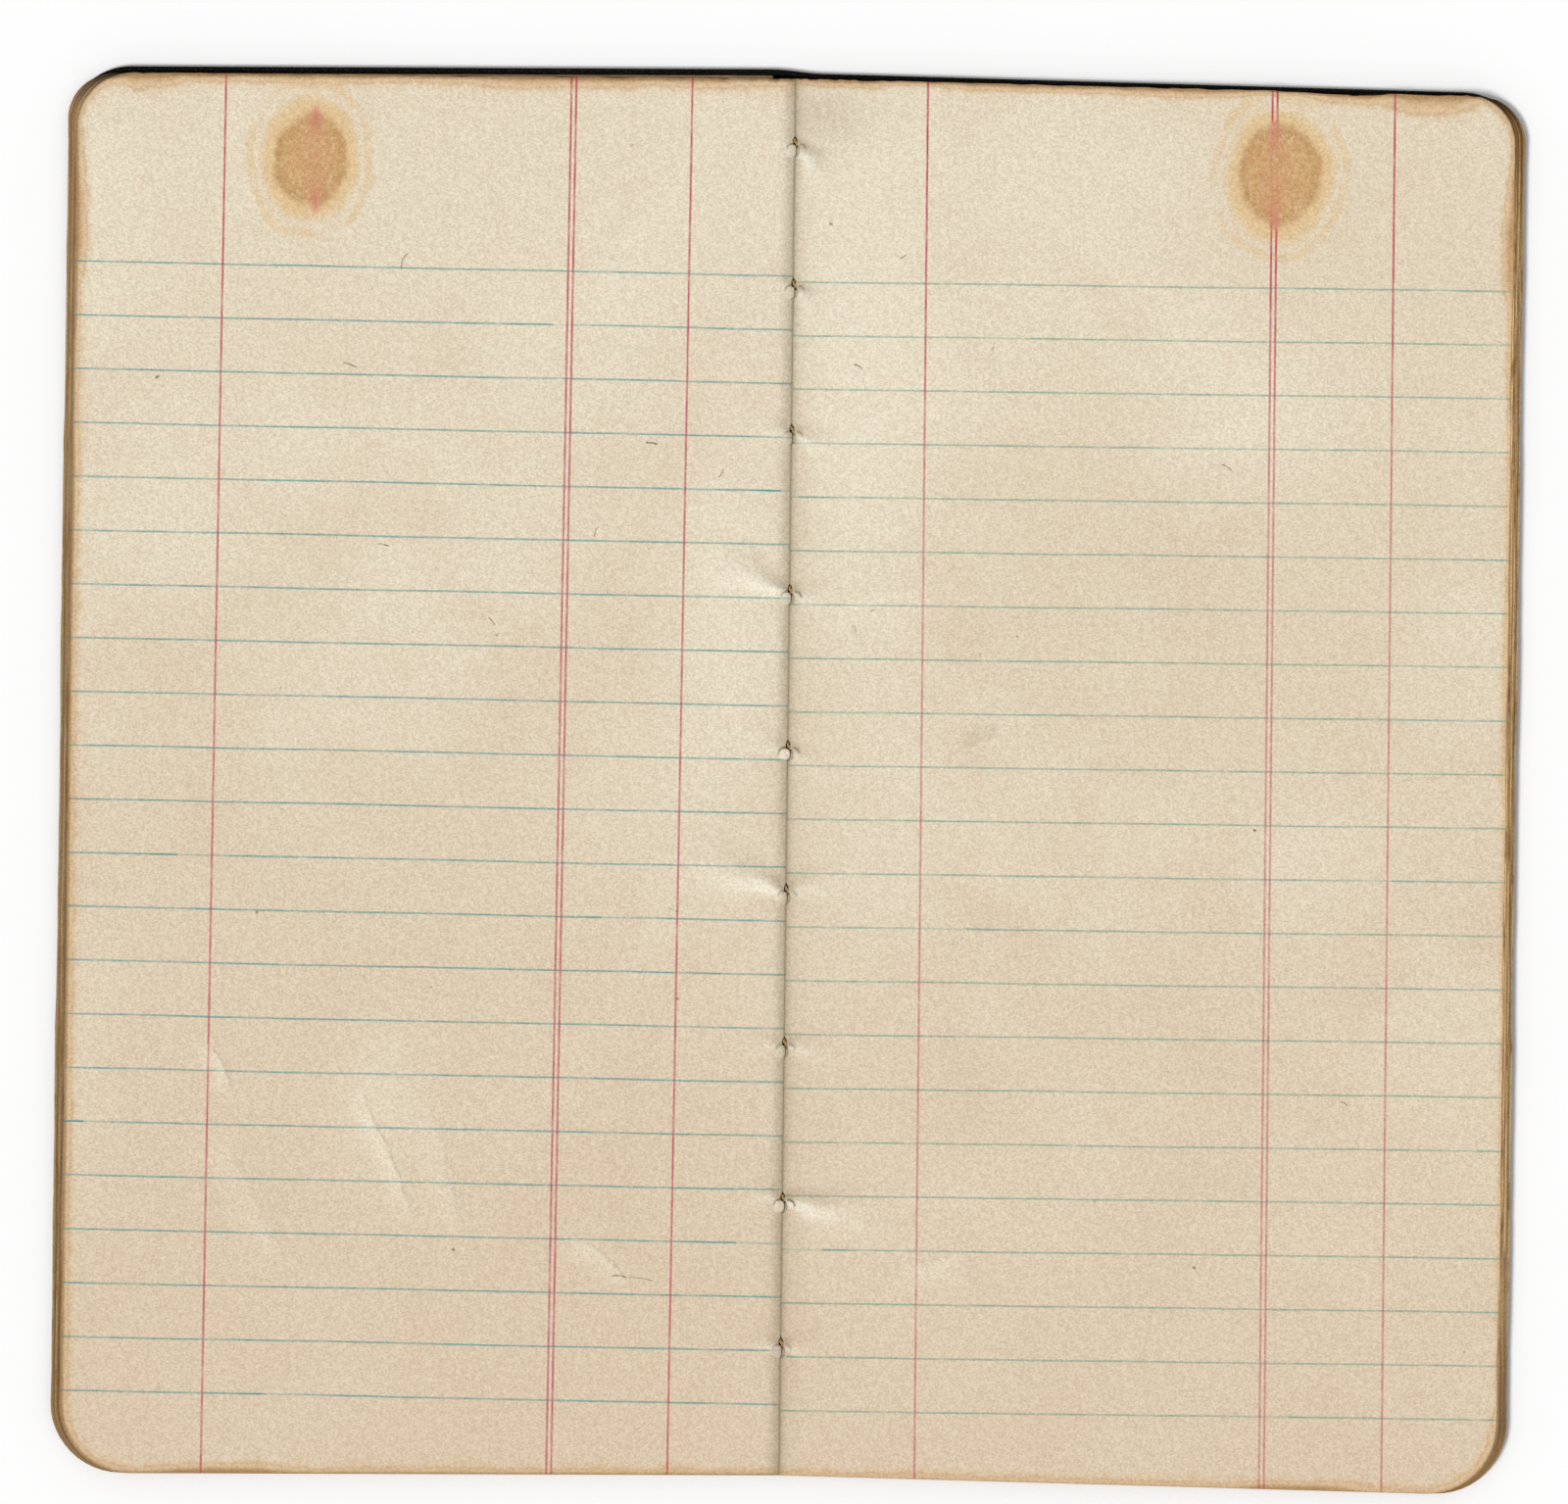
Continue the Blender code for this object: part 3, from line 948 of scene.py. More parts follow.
# Toned patches along each edge of a page, in mm: middle, half length, depth, and strength.
TONED = {
    "left": {
        "fore": [
            (17.5, 5.5, 1.15, 1.0),
            (9.5, 2.5, 0.6, 0.5),
            (27.0, 4.0, 0.5, 0.6),
            (52.0, 9.0, 0.5, 0.4),
        ],
        "head": [
            (76.5, 3.8, 1.7, 0.85),
            (69.0, 3.0, 0.8, 0.45),
            (55.0, 5.0, 0.9, 0.5),
            (27.0, 11.0, 1.2, 0.55),
            (11.0, 4.0, 1.0, 0.5),
        ],
        "tail": [(66.0, 6.5, 0.9, 1.1)],
    },
    "right": {
        "fore": [
            (18.5, 5.5, 1.15, 1.0),
            (11.5, 2.5, 0.6, 0.5),
            (32.0, 6.0, 0.5, 0.5),
            (70.0, 12.0, 0.5, 0.4),
            (160.5, 4.5, 1.3, 0.5),
        ],
        "head": [
            (75.5, 5.0, 2.7, 1.0),
            (66.0, 4.0, 1.5, 0.7),
            (46.0, 8.0, 1.1, 0.6),
            (29.0, 9.0, 0.9, 0.45),
            (6.0, 4.0, 1.0, 0.5),
        ],
        "tail": [(61.5, 6.5, 0.8, 1.0)],
    },
}
# Each stitch's pucker on a page: its angle in degrees, its strength and its length in mm.
PUCKERS = {
    "left": (
        (12, 0.3, 2.0),
        (10, 0.4, 2.0),
        (6, 0.6, 2.5),
        (17, 1.0, 7.0),
        (10, 0.5, 3.0),
        (15, 1.0, 7.5),
        (-5, 0.4, 3.0),
        (10, 0.6, 3.0),
        (0, 0.5, 2.5),
    ),
    "right": (
        (-50, 1.0, 3.8),
        (-45, 0.9, 2.6),
        (-22, 0.7, 3.5),
        (-10, 0.7, 3.0),
        (-30, 0.6, 2.5),
        (10, 0.6, 4.5),
        (-10, 0.7, 3.2),
        (-12, 1.0, 7.0),
        (-6, 0.6, 3.0),
    ),
}
# How far each hole has torn on a page, from hardly to a round tongue.
TEARS = {
    "left": (0.45, 0.45, 0.2, 0.5, 0.9, 0.3, 0.3, 0.7, 0.3),
    "right": (0.3, 0.2, 0.2, 0.6, 0.5, 0.2, 0.2, 1.0, 0.2),
}
# Where the tear beside a stitch has its middle, and how wide the lower leaves' holes are, in mm.
TEAR_MIDDLE = {"left": 0.33, "right": 0.7}
LOW_HOLE = {"left": 0.3, "right": 0.48}
# How toned a page is in a thin rim all round and in a broad band at its fore-edge, and how much
# of its edges' colour the rim of its face takes.
RIM_TONING = {"left": (0.75, 0.3), "right": (0.5, 0.12)}
TOP_RIM = {"left": 0.45, "right": 0.25}
# Bites out of the right pages' head, in mm: out from the fold, half width and depth.
HEAD_BITES = ((60.5, 2.6, 0.13), (66.0, 3.6, 0.3), (75.0, 3.0, 0.12))
# Paler places on a page: paler paper, and painted highlight where its rolls catch the light. In mm:
# out from the fold, below the head, half sizes, and strength.
PALE_AND_LIT = {
    "left": (
        (7, 63, 7, 20, 0.7),
        (48, 121, 5, 11, 0.4),
        (30, 22, 40, 14, 0.25),
        (16, 84, 14, 12, 0.3),
    ),
    "right": (
        (8, 38, 9, 32, 0.8),
        (56, 38, 13, 10, 0.6),
        (62, 90, 10, 10, 0.45),
        (10, 96, 8, 14, 0.35),
    ),
}


def toning(side, number, across, below, distances, seed):
    """How brown the paper is: a thin rim all round, and patches along its edges."""
    from_fore, from_head, from_tail = (distances[edge] for edge in ("fore", "head", "tail"))
    near = np.minimum(from_fore, from_head)
    rng = np.random.default_rng(seed)
    rim, broad = RIM_TONING[side]
    total = rim * decay(np.minimum(near, from_tail), 0.28 * MM) + 0.16 * decay(near, 1.2 * MM)
    total = total + broad * decay(from_fore, 2.3 * MM)
    total = total + 0.1 * decay(from_head, 2.2 * MM) + 0.5 * decay(from_head, 0.25 * MM)
    total = total + 0.05 * decay(from_tail, 2.5 * MM) * np.clip(across / (60 * MM), 0, 1)
    for edge, patches in TONED[side].items():
        along = below if edge == "fore" else across
        for middle, half, depth, strength in patches:
            shift = rng.normal(0, 1.5) if number > 1 else 0.0
            patch = plateau(along / MM - middle - shift, half) * bell(distances[edge] / MM, depth)
            total = total + 0.75 * strength * patch
    return np.clip(total, 0, 1.3)


def pale_places(side, across, below):
    """Where a page is painted paler, as a share: paler paper, and painted highlight where its rolls
    catch the light.
    """
    total = np.zeros_like(across)
    for out, down, wide, tall, strength in PALE_AND_LIT[side]:
        total = total + strength * bell(across / MM - out, wide) * bell(below / MM - down, tall)
    return np.clip(total, 0, 0.9)


def hole_edges(side, rows, number):
    """Where a leaf's edge lies at the fold, measured out from it, torn open at the sewing holes."""
    edge = np.full_like(rows, sizes().fold_gap / 2)
    opened = np.zeros_like(rows)
    for place, torn in zip(stitch_places(), TEARS["left"]):
        up = (rows - place) / MM
        tongue = (0.08 + 0.26 * torn) * arch(up, -0.65, 0.65)
        above = rise(up, 1.2, 0.55) * rise(up, -0.15, 0.2)
        if number > 1:
            hole = LOW_HOLE[side] * rise(up, 1.5, 1.1) * rise(up, -0.55, -0.15)
        elif side == "left":
            hole = 0.2 * above - tongue
        else:
            hole = np.maximum(0.26 * above, tongue + 0.26 * np.sqrt(arch(up, -0.55, 0.85)))
        edge = edge + hole * MM
        opened = np.maximum(opened, np.clip(np.abs(hole) / 0.2, 0, 1))
    return edge, opened


def tongue_share(across, up):
    """Where the left page's torn tongues lie, as a share."""
    total = np.zeros_like(across)
    for place, torn in zip(stitch_places(), TEARS["left"]):
        out = (across / MM - TEAR_MIDDLE["left"]) / 0.75
        over = ((up - place) / MM + 0.63) / 0.75
        total = total + torn * rise(np.hypot(out, over), 1.1, 0.75)
    return np.clip(total, 0, 1)


def tear_line(side, x, y, count):
    """Distance outside the arched tear beside a stitch, in mm, and how open the tear is there."""
    torn = TEARS[side][count]
    radius = 0.45 + 0.3 * torn
    out = x - TEAR_MIDDLE[side]
    over = y + radius - 0.12
    reach = rise(out, -0.2, 0.0) * rise(over, -0.3 * radius, 0.2 * radius)
    return np.hypot(out, over) - radius, reach * (0.35 + 0.65 * torn)


def pucker_place(side, x, y, count):
    """Distance above a stitch's ridge, as a share of the ridge's width, and the ridge's strength."""
    degrees, strength, span = PUCKERS[side][count]
    angle = math.radians(degrees)
    course = x * math.cos(angle) + y * math.sin(angle)
    aside = y * math.cos(angle) - x * math.sin(angle)
    bow = 0.2 * np.sin(course * 0.9 + count) * rise(course, 0.5, 2.0)
    width = 0.45 + 0.14 * np.maximum(course, 0)
    return (aside - bow) / width, rise(course, 0.15, 0.7) * bell(course, span) * strength


def pressed_relief(side, across, up):
    """Height of the top leaf over flat: the fold's valley, and tears and puckers at each stitch."""
    x = across / MM
    dip = -sizes().gutter_depth / MM * bell(np.maximum(across, 0), sizes().gutter_width)
    for count, place in enumerate(stitch_places()):
        y = (up - place) / MM
        apart, reach = tear_line(side, x, y, count)
        dip = dip - 0.13 * reach * rise(apart, -0.05, 0.1) * bell(apart, 1.1)
        aside, strength = pucker_place(side, x, y, count)
        ridge = 0.3 * bell(aside, 0.9) - 0.2 * bell(aside - 2.2, 1.3) - 0.12 * bell(aside + 2.2, 1.2)
        dip = dip + ridge * strength - 0.06 * bell(np.hypot(x, y), 3.0)
    if side == "left":
        dip = dip + 0.3 * tongue_share(across, up)
    return np.clip(dip, -0.4, 0.13) * MM


def pucker_marks(side, across, up):
    """Painted light and shade at the stitches: a painted highlight on each pucker's ridge and on the
    left page's tongues, painted shade on the ridges' far flanks and round the right page's holes, and
    the right page darker by the fold near its head.
    """
    x = across / MM
    rubbed = np.zeros_like(across)
    soiled = np.zeros_like(across)
    for count, place in enumerate(stitch_places()):
        y = (up - place) / MM
        aside, strength = pucker_place(side, x, y, count)
        # Painted highlight on the ridge, painted shade on its far flank.
        rubbed = rubbed + strength * bell(aside + 0.3)
        soiled = soiled + 0.8 * strength * bell(aside - 1.9, 1.2)
        # Painted shade round each right hole.
        if side == "right":
            soiled = soiled + 0.7 * bell(x - 0.75, 0.55) * bell(y, 0.8)
    if side == "left":
        # Painted highlight on the raised tongues.
        rubbed = rubbed + 0.55 * tongue_share(across, up)
    else:
        # Darker by the fold near the head.
        soiled = soiled + 0.6 * bell(x - 3.0, 5.5) * bell((head() - up) / MM - 4.5, 3.8)
    return np.clip(rubbed, 0, 1), np.clip(soiled, 0, 1)


def torn_slits(side, across, up):
    """Curved slits beside each hole, where the thread tore the paper, painted dark as painted shade
    in the slits.
    """
    slit = np.zeros_like(across)
    for count, place in enumerate(stitch_places()):
        apart, reach = tear_line(side, across / MM, (up - place) / MM, count)
        slit = np.maximum(slit, reach * bell(apart - 0.03, 0.1))
    return slit


def gutter_dirt(side, across):
    """How dark the paper is beside the fold, more so on the left page: dust in the fold, and painted
    shade of its valley, heavier where the valley's slope faces away from the sun.
    """
    out = np.maximum(across, 0) / MM
    if side == "left":
        return 0.26 * bell(out, 0.2) + 0.42 * bell(out, 0.92)
    return 0.14 * bell(out, 0.16) + 0.52 * decay(out, 0.85)


def leaf_outline(side, box, top_share):
    """Outline of a leaf. Its corners pass from the page's to the lowest leaf's as its share falls."""
    size = sizes()
    corners = []
    for end in ("tail", "head"):
        lowest = getattr(size, f"low_{end}_corner")
        corners.append(lowest + (getattr(size, f"{side}_{end}_corner") - lowest) * top_share)
    width = max(abs(box[0].x), abs(box[1].x)) + size.top_reach * top_share
    return Outline(width, tail() - size.tail_reach, head(), *corners)


def ragged_head(side, across, seed):
    """How far the head of a leaf is worn back, with bites out of the right pages."""
    chips = wave(across, seed + 7, (41, 13, 4.1, 1.7, 0.9), (0.05, 0.06, 0.06, 0.05, 0.035))
    worn = np.abs(chips)
    for out, half, deep in HEAD_BITES if side == "right" else ():
        worn = worn + deep * MM * plateau(across / MM - out, half)
    return worn


def leaf_grid(side, number):
    """Flat grid, upper and lower heights and marks of one leaf, where leaf 1 lies on top."""
    sign = SIDES[side]
    top = number == 1
    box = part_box(f"leaf_{side}_{number:02d}")
    top_share = (LEAVES - number) / (LEAVES - 1)
    outline = leaf_outline(side, box, top_share)
    seed = 100 * (1 + (side == "right")) + number
    if top:
        rows = outline.rows(step=1.5 * MM, fine=0.13 * MM)
        steps = {"first": 0.08 * MM, "growth": 1.09, "largest": 1.6 * MM}
    else:
        rows = outline.rows(step=4.0 * MM, fine=0.6 * MM)
        steps = {"first": 0.2 * MM, "growth": 1.5, "largest": 5.0 * MM}
    shares = columns(outline.width, last=0.12 * MM, **steps)
    inner, opened = hole_edges(side, rows, number)
    outer = outline.reach(rows) + sign * outline.lean(rows)
    outer = outer + wave(rows, seed, (61, 23, 7.7, 2.3), (0.05, 0.035, 0.02, 0.012))
    if not top:
        outer = outer + np.random.default_rng(seed).uniform(-0.08, 0.06) * MM
    across = spread(inner, outer, shares)
    up = np.repeat(rows[:, None], len(shares), 1)
    below = outline.high - up
    distances = {"fore": outline.distance(across, up), "head": below, "tail": up - outline.low}
    slopes = [math.tan(getattr(sizes(), f"{side}_{end}_skew")) for end in ("tail", "head")]
    slope = slopes[0] + (slopes[1] - slopes[0]) * (up - outline.low) / (outline.high - outline.low)
    y = up - ragged_head(side, across, seed) * np.clip(1 - below / (1.5 * MM), 0, 1) - slope * across
    # Painted shade at the torn edges of the holes, reaching further in on the lower leaves.
    torn = opened[:, None] * decay(across - inner[:, None], (0.05 if top else 0.5) * MM)
    rim = TOP_RIM[side] if top else 1.0
    marks = {
        "toning": toning(side, number, across, below, distances, seed),
        "rim": rim * bell(distances["fore"], (0.3 if top else 0.45) * MM),
        "gutter": gutter_dirt(side, across),
        "gash": np.clip(torn, 0, 1),
        "pale": pale_places(side, across, below),
    }
    if top:
        marks["gash"] = np.clip(np.maximum(torn, torn_slits(side, across, up)), 0, 1)
        marks["rubbed"], marks["soiled"] = pucker_marks(side, across, up)
    if top and side == "left":
        marks["gutter"] = marks["gutter"] * (1 - tongue_share(across, up))
    relief = pressed_relief(side, across, up) * top_share
    return np.stack([sign * across, y], -1), box[1].z + relief, box[0].z + relief, marks


class LEDGER_OT_leaves(bpy.types.Operator):
    """Makes the ruled leaves of both sides, pressed down at the fold and torn at the stitches"""

    bl_idname = "ledger.leaves"
    bl_label = "Leaves"

    def execute(self, context):
        for side, sign in SIDES.items():
            for number in range(1, LEAVES + 1):
                leaf = f"leaf_{side}_{number:02d}"
                *grid, marks = leaf_grid(side, number)
                material = page_material(side, number)
                piece = thin_sheet(f"page_{side}_{number:02d}", *grid, sign == LEFT, marks, material)
                finish_piece(piece, leaf, "paper", leaf)
        return {"FINISHED"}


# Cover


def cover_outline(inset, lift=0.0):
    """Outline of one half of the cover, smaller by an inset all round."""
    size = sizes()
    corners = (size.cover_tail_corner - inset, size.cover_head_corner - inset)
    return Outline(cover_width() - inset, tail() + lift + inset, head() + lift - inset, *corners)


def half_sheet(cover, box, inset, step):
    """Flat grid of one half of the cover, and each point's distance from its trimmed edges."""
    sign = COVERS[cover]
    outline = cover_outline(inset, getattr(sizes(), f"{cover}_lift"))
    fall = math.tan(getattr(sizes(), f"{cover}_skew"))
    rows = outline.rows(step)
    shares = columns(outline.width, first=1.0 * MM, growth=1.4, largest=step, last=0.15 * MM)
    outer = outline.reach(rows) + sign * outline.lean(rows)
    across = spread(np.full_like(rows, box[0].x), outer, shares)
    up = np.repeat(rows[:, None], len(shares), 1)
    return np.stack([sign * across, up - fall * across], -1), outline.distance(across, up)


def board_material():
    """Brown pressboard with long fibres and a few dark specks."""
    board = colours().board
    material, nodes, shader = new_material("pressboard", roughness=0.9, specular=0.2)
    pale = [min(1.0, part * 1.35) for part in board]
    body = paper(nodes, nodes.flat_place(3.0), board, pale, [part * 0.75 for part in board])
    wire(nodes, shader, body.colour.shaded(body.shade), body.height, strength=0.8, depth=0.08 * MM)
    return material


class LEDGER_OT_boards(bpy.types.Operator):
    """Makes the thin pressboards inside the two halves of the cover"""

    bl_idname = "ledger.boards"
    bl_label = "Boards"

    def execute(self, context):
        material = board_material()
        for cover, sign in COVERS.items():
            flat, near = half_sheet(cover, BOARD_BOX, sizes().cloth_thickness + 0.12 * MM, 8 * MM)
            ease = 0.12 * MM * decay(near, 0.1 * MM)
            heights = (BOARD_BOX[1].z - ease, BOARD_BOX[0].z + ease)
            piece = thin_sheet(f"{cover}_pressboard", flat, *heights, sign == LEFT, {}, material)
            finish_piece(piece, f"{cover}_cover", "board", f"{cover}_board")
        return {"FINISHED"}


def lining_material():
    """Plain lining paper, toned at its edges and offset with brown from the board."""
    ink = colours()
    material, nodes, shader = new_material("lining_paper", roughness=0.85, specular=0.25)
    place = nodes.flat_place(11.0)
    body = paper(nodes, place, ink.lining, ink.paper, ink.toning_light)
    toned = nodes.group(crisp_patch, place=place, amount=nodes.mark("toning"), grain=0.25)
    tone = body.colour.layered(
        (ink.toning_light, toned.patch * 0.6), (ink.toning_dark, toned.depth * 0.8)
    )
    wire(nodes, shader, tone.shaded(body.shade), body.height, strength=1.0, depth=0.05 * MM)
    return material


class LEDGER_OT_linings(bpy.types.Operator):
    """Makes the lining papers pasted inside the two halves of the cover"""

    bl_idname = "ledger.linings"
    bl_label = "Linings"

    def execute(self, context):
        material = lining_material()
        for cover, sign in COVERS.items():
            flat, near = half_sheet(cover, LINING_BOX, cover_width() - LINING_BOX[1].x, 4 * MM)
            cockle = 0.012 * MM * np.sin(flat[..., 1] / (9 * MM)) * np.sin(flat[..., 0] / (14 * MM))
            heights = (LINING_BOX[1].z + cockle, LINING_BOX[0].z + cockle)
            marks = {"toning": decay(near, 2.5 * MM)}
            piece = thin_sheet(f"{cover}_lining", flat, *heights, sign == LEFT, marks, material)
            finish_piece(piece, f"{cover}_cover", "lining", f"{cover}_pastedown")
        return {"FINISHED"}


def cloth_material():
    """Black leatherette: pebbled grain, rubbed brown at its edges and along the fold."""
    ink = colours()
    material, nodes, shader = new_material("grained_cloth", roughness=0.55, specular=0.06)
    place = nodes.flat_place(5.0)
    grain = nodes.group(pebbled_grain, place=place, scale=1.7)
    rubbed = nodes.group(crisp_patch, place=place, amount=nodes.mark("wear"), grain=0.7)
    scuff = place.noise(0.09, 4.0, 0.65).span(0.55, 0.75)
    worn = rubbed.patch.most(scuff * 0.35) * (1.0 - grain.crevice)
    # Painted shade in the crevices between the pebbles.
    tone = nodes.mix(grain.crevice * 0.8, ink.cloth, (0.002, 0.0018, 0.0016))
    nodes.join(worn.span(0.0, 1.0, 0.52, 0.85), shader["Roughness"])
    tone = tone.toward(ink.cloth_worn, worn * 0.7)
    wire(nodes, shader, tone, grain.height, strength=0.9, depth=0.16 * MM)
    return material


def cover_shift(x):
    """How far the cover is shifted towards the head at each distance from the fold, so that its black
    edge stands in for the shadow along the head.
    """
    size = sizes()
    fall = np.where(x < 0, math.tan(size.front_skew), math.tan(size.back_skew))
    lift = size.back_lift + (size.front_lift - size.back_lift) * rise(-x, -3 * MM, 3 * MM)
    return lift - fall * np.abs(x)


def cloth_outside():
    """Outer face of the cloth: a flat sheet under both halves and the spine, short of its edges."""
    outline = cover_outline(sizes().cloth_round)
    close, wide = 0.35 * MM, 3.5 * MM
    near = columns(outline.width, first=close, growth=1.0, largest=close, last=0.2 * MM)[:10]
    far = columns(outline.width, first=wide, growth=1.0, largest=wide, last=0.4 * MM)
    shares = np.concatenate([near, far[far > near[-1] + 0.01]])
    shares = np.concatenate([-shares[:0:-1], shares])
    rows = outline.rows(4 * MM)
    x = outline.reach(rows)[:, None] * shares + outline.lean(rows)[:, None] * np.abs(shares)
    y = np.repeat(rows[:, None], len(shares), 1) + cover_shift(x)
    return np.stack([x, y, np.zeros_like(x)], -1)


def turned_rings(loop, top):
    """Rings that carry the sheet's outline up round the board's edge and in over it."""
    ahead = np.roll(loop, -1, 0) - np.roll(loop, 1, 0)
    outward = np.stack([ahead[:, 1], -ahead[:, 0]], -1)
    outward /= np.linalg.norm(outward, axis=1)[:, None]
    radius = sizes().cloth_round
    profile = [(0.0, 0.0)]
    for angle in np.linspace(0.25, 1.0, 4) * math.pi / 2:
        profile.append((radius * math.sin(angle), radius * (1 - math.cos(angle))))
    for angle in np.linspace(0.0, 1.0, 5) * math.pi / 2:
        profile.append((radius * math.cos(angle), top - radius * (1 - math.sin(angle))))
    profile += [(-0.25 * MM, top), (radius - sizes().turn_in, top)]
    return [
        np.concatenate([loop + outward * step, np.full((len(loop), 1), height)], -1)
        for step, height in profile
    ]


def cloth_mesh():
    """Outer face of the cloth and its turned-in edge, as one open surface."""
    sheet = cloth_outside()
    rows, count = sheet.shape[:2]
    index = np.arange(rows * count).reshape(rows, count)
    around = border(index)
    flat = sheet.reshape(-1, 3)
    rings = turned_rings(flat[around, :2], LINING_BOX[1].z)
    flat[around] = rings[0]
    quads = np.stack([index[:-1, :-1], index[1:, :-1], index[1:, 1:], index[:-1, 1:]], -1)
    faces = [quads.reshape(-1, 4)]
    before = around
    for number in range(len(rings) - 1):
        now = rows * count + number * len(around) + np.arange(len(around))
        faces.append(np.stack([before, np.roll(before, -1), np.roll(now, -1), now], -1))
        before = now
    mesh = bpy.data.meshes.new("grained_cloth")
    points = np.concatenate([flat, *rings[1:]])
    mesh.from_pydata(points.tolist(), [], np.concatenate(faces).tolist())
    mesh.shade_smooth()
    return mesh


def cloth_wear(points):
    """How rubbed the cloth is: at its edges and corners, beside the spine and on its turn-ins."""
    width = cover_width()
    out = np.abs(points[:, 0])
    near = cover_outline(0.0).distance(out, points[:, 1] - cover_shift(points[:, 0]))
    corner = np.clip(1 - np.hypot(width - out, np.abs(points[:, 1]) - head()) / (16 * MM), 0, 1)
    wear = 0.42 * decay(near, 0.6 * MM) + 0.6 * corner * decay(near, 3 * MM)
    wear = wear + 0.3 * bell(out - 2.4 * MM, 0.7 * MM)
    return np.where(points[:, 2] > 0.15 * MM, rise(out, width - 5.0 * MM, width - 2.0 * MM), wear)


class LEDGER_OT_cloth(bpy.types.Operator):
    """Makes the grained cloth as one sheet round both boards and across the spine"""

    bl_idname = "ledger.cloth"
    bl_label = "Cover cloth"

    def execute(self, context):
        raw = bpy.data.objects.new("cloth_outside", cloth_mesh())
        context.scene.collection.objects.link(raw)
        shell = raw.modifiers.new("thickness", "SOLIDIFY")
        shell.thickness = sizes().cloth_thickness
        shell.offset = -1.0
        context.view_layer.update()
        solid = raw.evaluated_get(context.evaluated_depsgraph_get())
        mesh = bpy.data.meshes.new_from_object(solid)
        mesh.name = "cover_cloth"
        bpy.data.objects.remove(raw)
        points = np.empty(len(mesh.vertices) * 3)
        mesh.vertices.foreach_get("co", points)
        add_marks(mesh, {"wear": cloth_wear(points.reshape(-1, 3))})
        piece = new_piece("cover_cloth", mesh, cloth_material())
        bend_at_spine(
            piece, "cover_cloth", "back_cover_cloth", "front_cover_cloth", "spine_cover_cloth"
        )
        return {"FINISHED"}


# Sewing


def linen_material():
    """Unbleached plain-woven linen, soiled along its edges."""
    ink = colours()
    material, nodes, shader = new_material("linen_guard", roughness=0.95, specular=0.15)
    weave = nodes.group(plain_weave, place=nodes.flat_place(0.0), yarns=3.2)
    tone = nodes.mix(weave.slub * 0.35, ink.linen, ink.toning_light)
    tone = tone.toward(ink.toning_dark, nodes.mark("soil"))
    wire(nodes, shader, tone, weave.height, strength=0.8, depth=0.05 * MM)
    return material


def row_order(spot):
    """A number that sorts places by row, then across the fold, then by height."""
    return spot.y * 1e4 + spot.x + spot.z * 1e-2


class LEDGER_OT_guard(bpy.types.Operator):
    """Makes the linen strip behind the fold, with a hole for each stitch and fraying edges"""

    bl_idname = "ledger.guard"
    bl_label = "Sewing guard"

    def execute(self, context):
        low, high = GUARD_BOX
        rows = Outline(high.x, low.y, high.y, 0.05 * MM, 0.05 * MM).rows(step=1.0 * MM, fine=0.2 * MM)
        gap = np.zeros_like(rows)
        for place in stitch_places():
            gap = np.maximum(gap, 0.75 * MM * arch(rows, place, 1.3 * MM))
        strip = bmesh.new()
        shares = np.linspace(0, 1, 7)
        for sign in (LEFT, RIGHT):
            fray = wave(rows, 31 + sign, (3.1, 0.9, 0.43), (0.03, 0.03, 0.03)) - 0.09 * MM
            across = spread(gap, high.x + fray, shares)
            sag = 0.02 * MM * np.abs(np.sin(rows / (4 * MM)))[:, None] * shares[None, :]
            grid = [
                [strip.verts.new((sign * a, y, high.z - s)) for a, s in zip(line, dips)]
                for line, y, dips in zip(across, rows, sag)
            ]
            for one, two in zip(grid, grid[1:]):
                for i in range(len(one) - 1):
                    quad = (one[i], one[i + 1], two[i + 1], two[i])
                    strip.faces.new(quad[::-1] if sign == LEFT else quad)
        bmesh.ops.remove_doubles(strip, verts=strip.verts, dist=LEAST_STEP)
        bmesh.ops.solidify(strip, geom=strip.faces[:], thickness=high.z - low.z)
        # Solidifying leaves them in a new order on each run.
        strip.verts.sort(key=lambda vert: row_order(vert.co))
        strip.faces.sort(key=lambda face: row_order(face.calc_center_median()))
        mesh = bpy.data.meshes.new("linen_guard")
        strip.to_mesh(mesh)
        strip.free()
        mesh.shade_smooth()
        out = np.array([abs(vertex.co.x) for vertex in mesh.vertices])
        add_marks(mesh, {"soil": 0.7 * decay(high.x - out, 0.4 * MM)})
        piece = new_piece("linen_guard", mesh, linen_material())
        bend_at_spine(piece, "linen", "sewing_guard")
        return {"FINISHED"}


def thread_material():
    """Tan twisted thread, mottled along its hairs, with painted shade in the grooves between its
    plies.
    """
    thread = colours().thread
    material, nodes, shader = new_material("sewing_thread", roughness=0.85, specular=0.2)
    hairs = nodes.flat_place(0.0).scaled(6.0, 1.5, 1.0).noise(3.0, 3.0, 0.6)
    tone = nodes.mix(hairs.span(0.35, 0.65), [part * 0.7 for part in thread], thread)
    # Painted shade in the grooves between the plies.
    tone = tone.toward([part * 0.35 for part in thread], nodes.mark("groove"))
    wire(nodes, shader, tone, hairs, strength=0.7, depth=0.03 * MM)
    return material


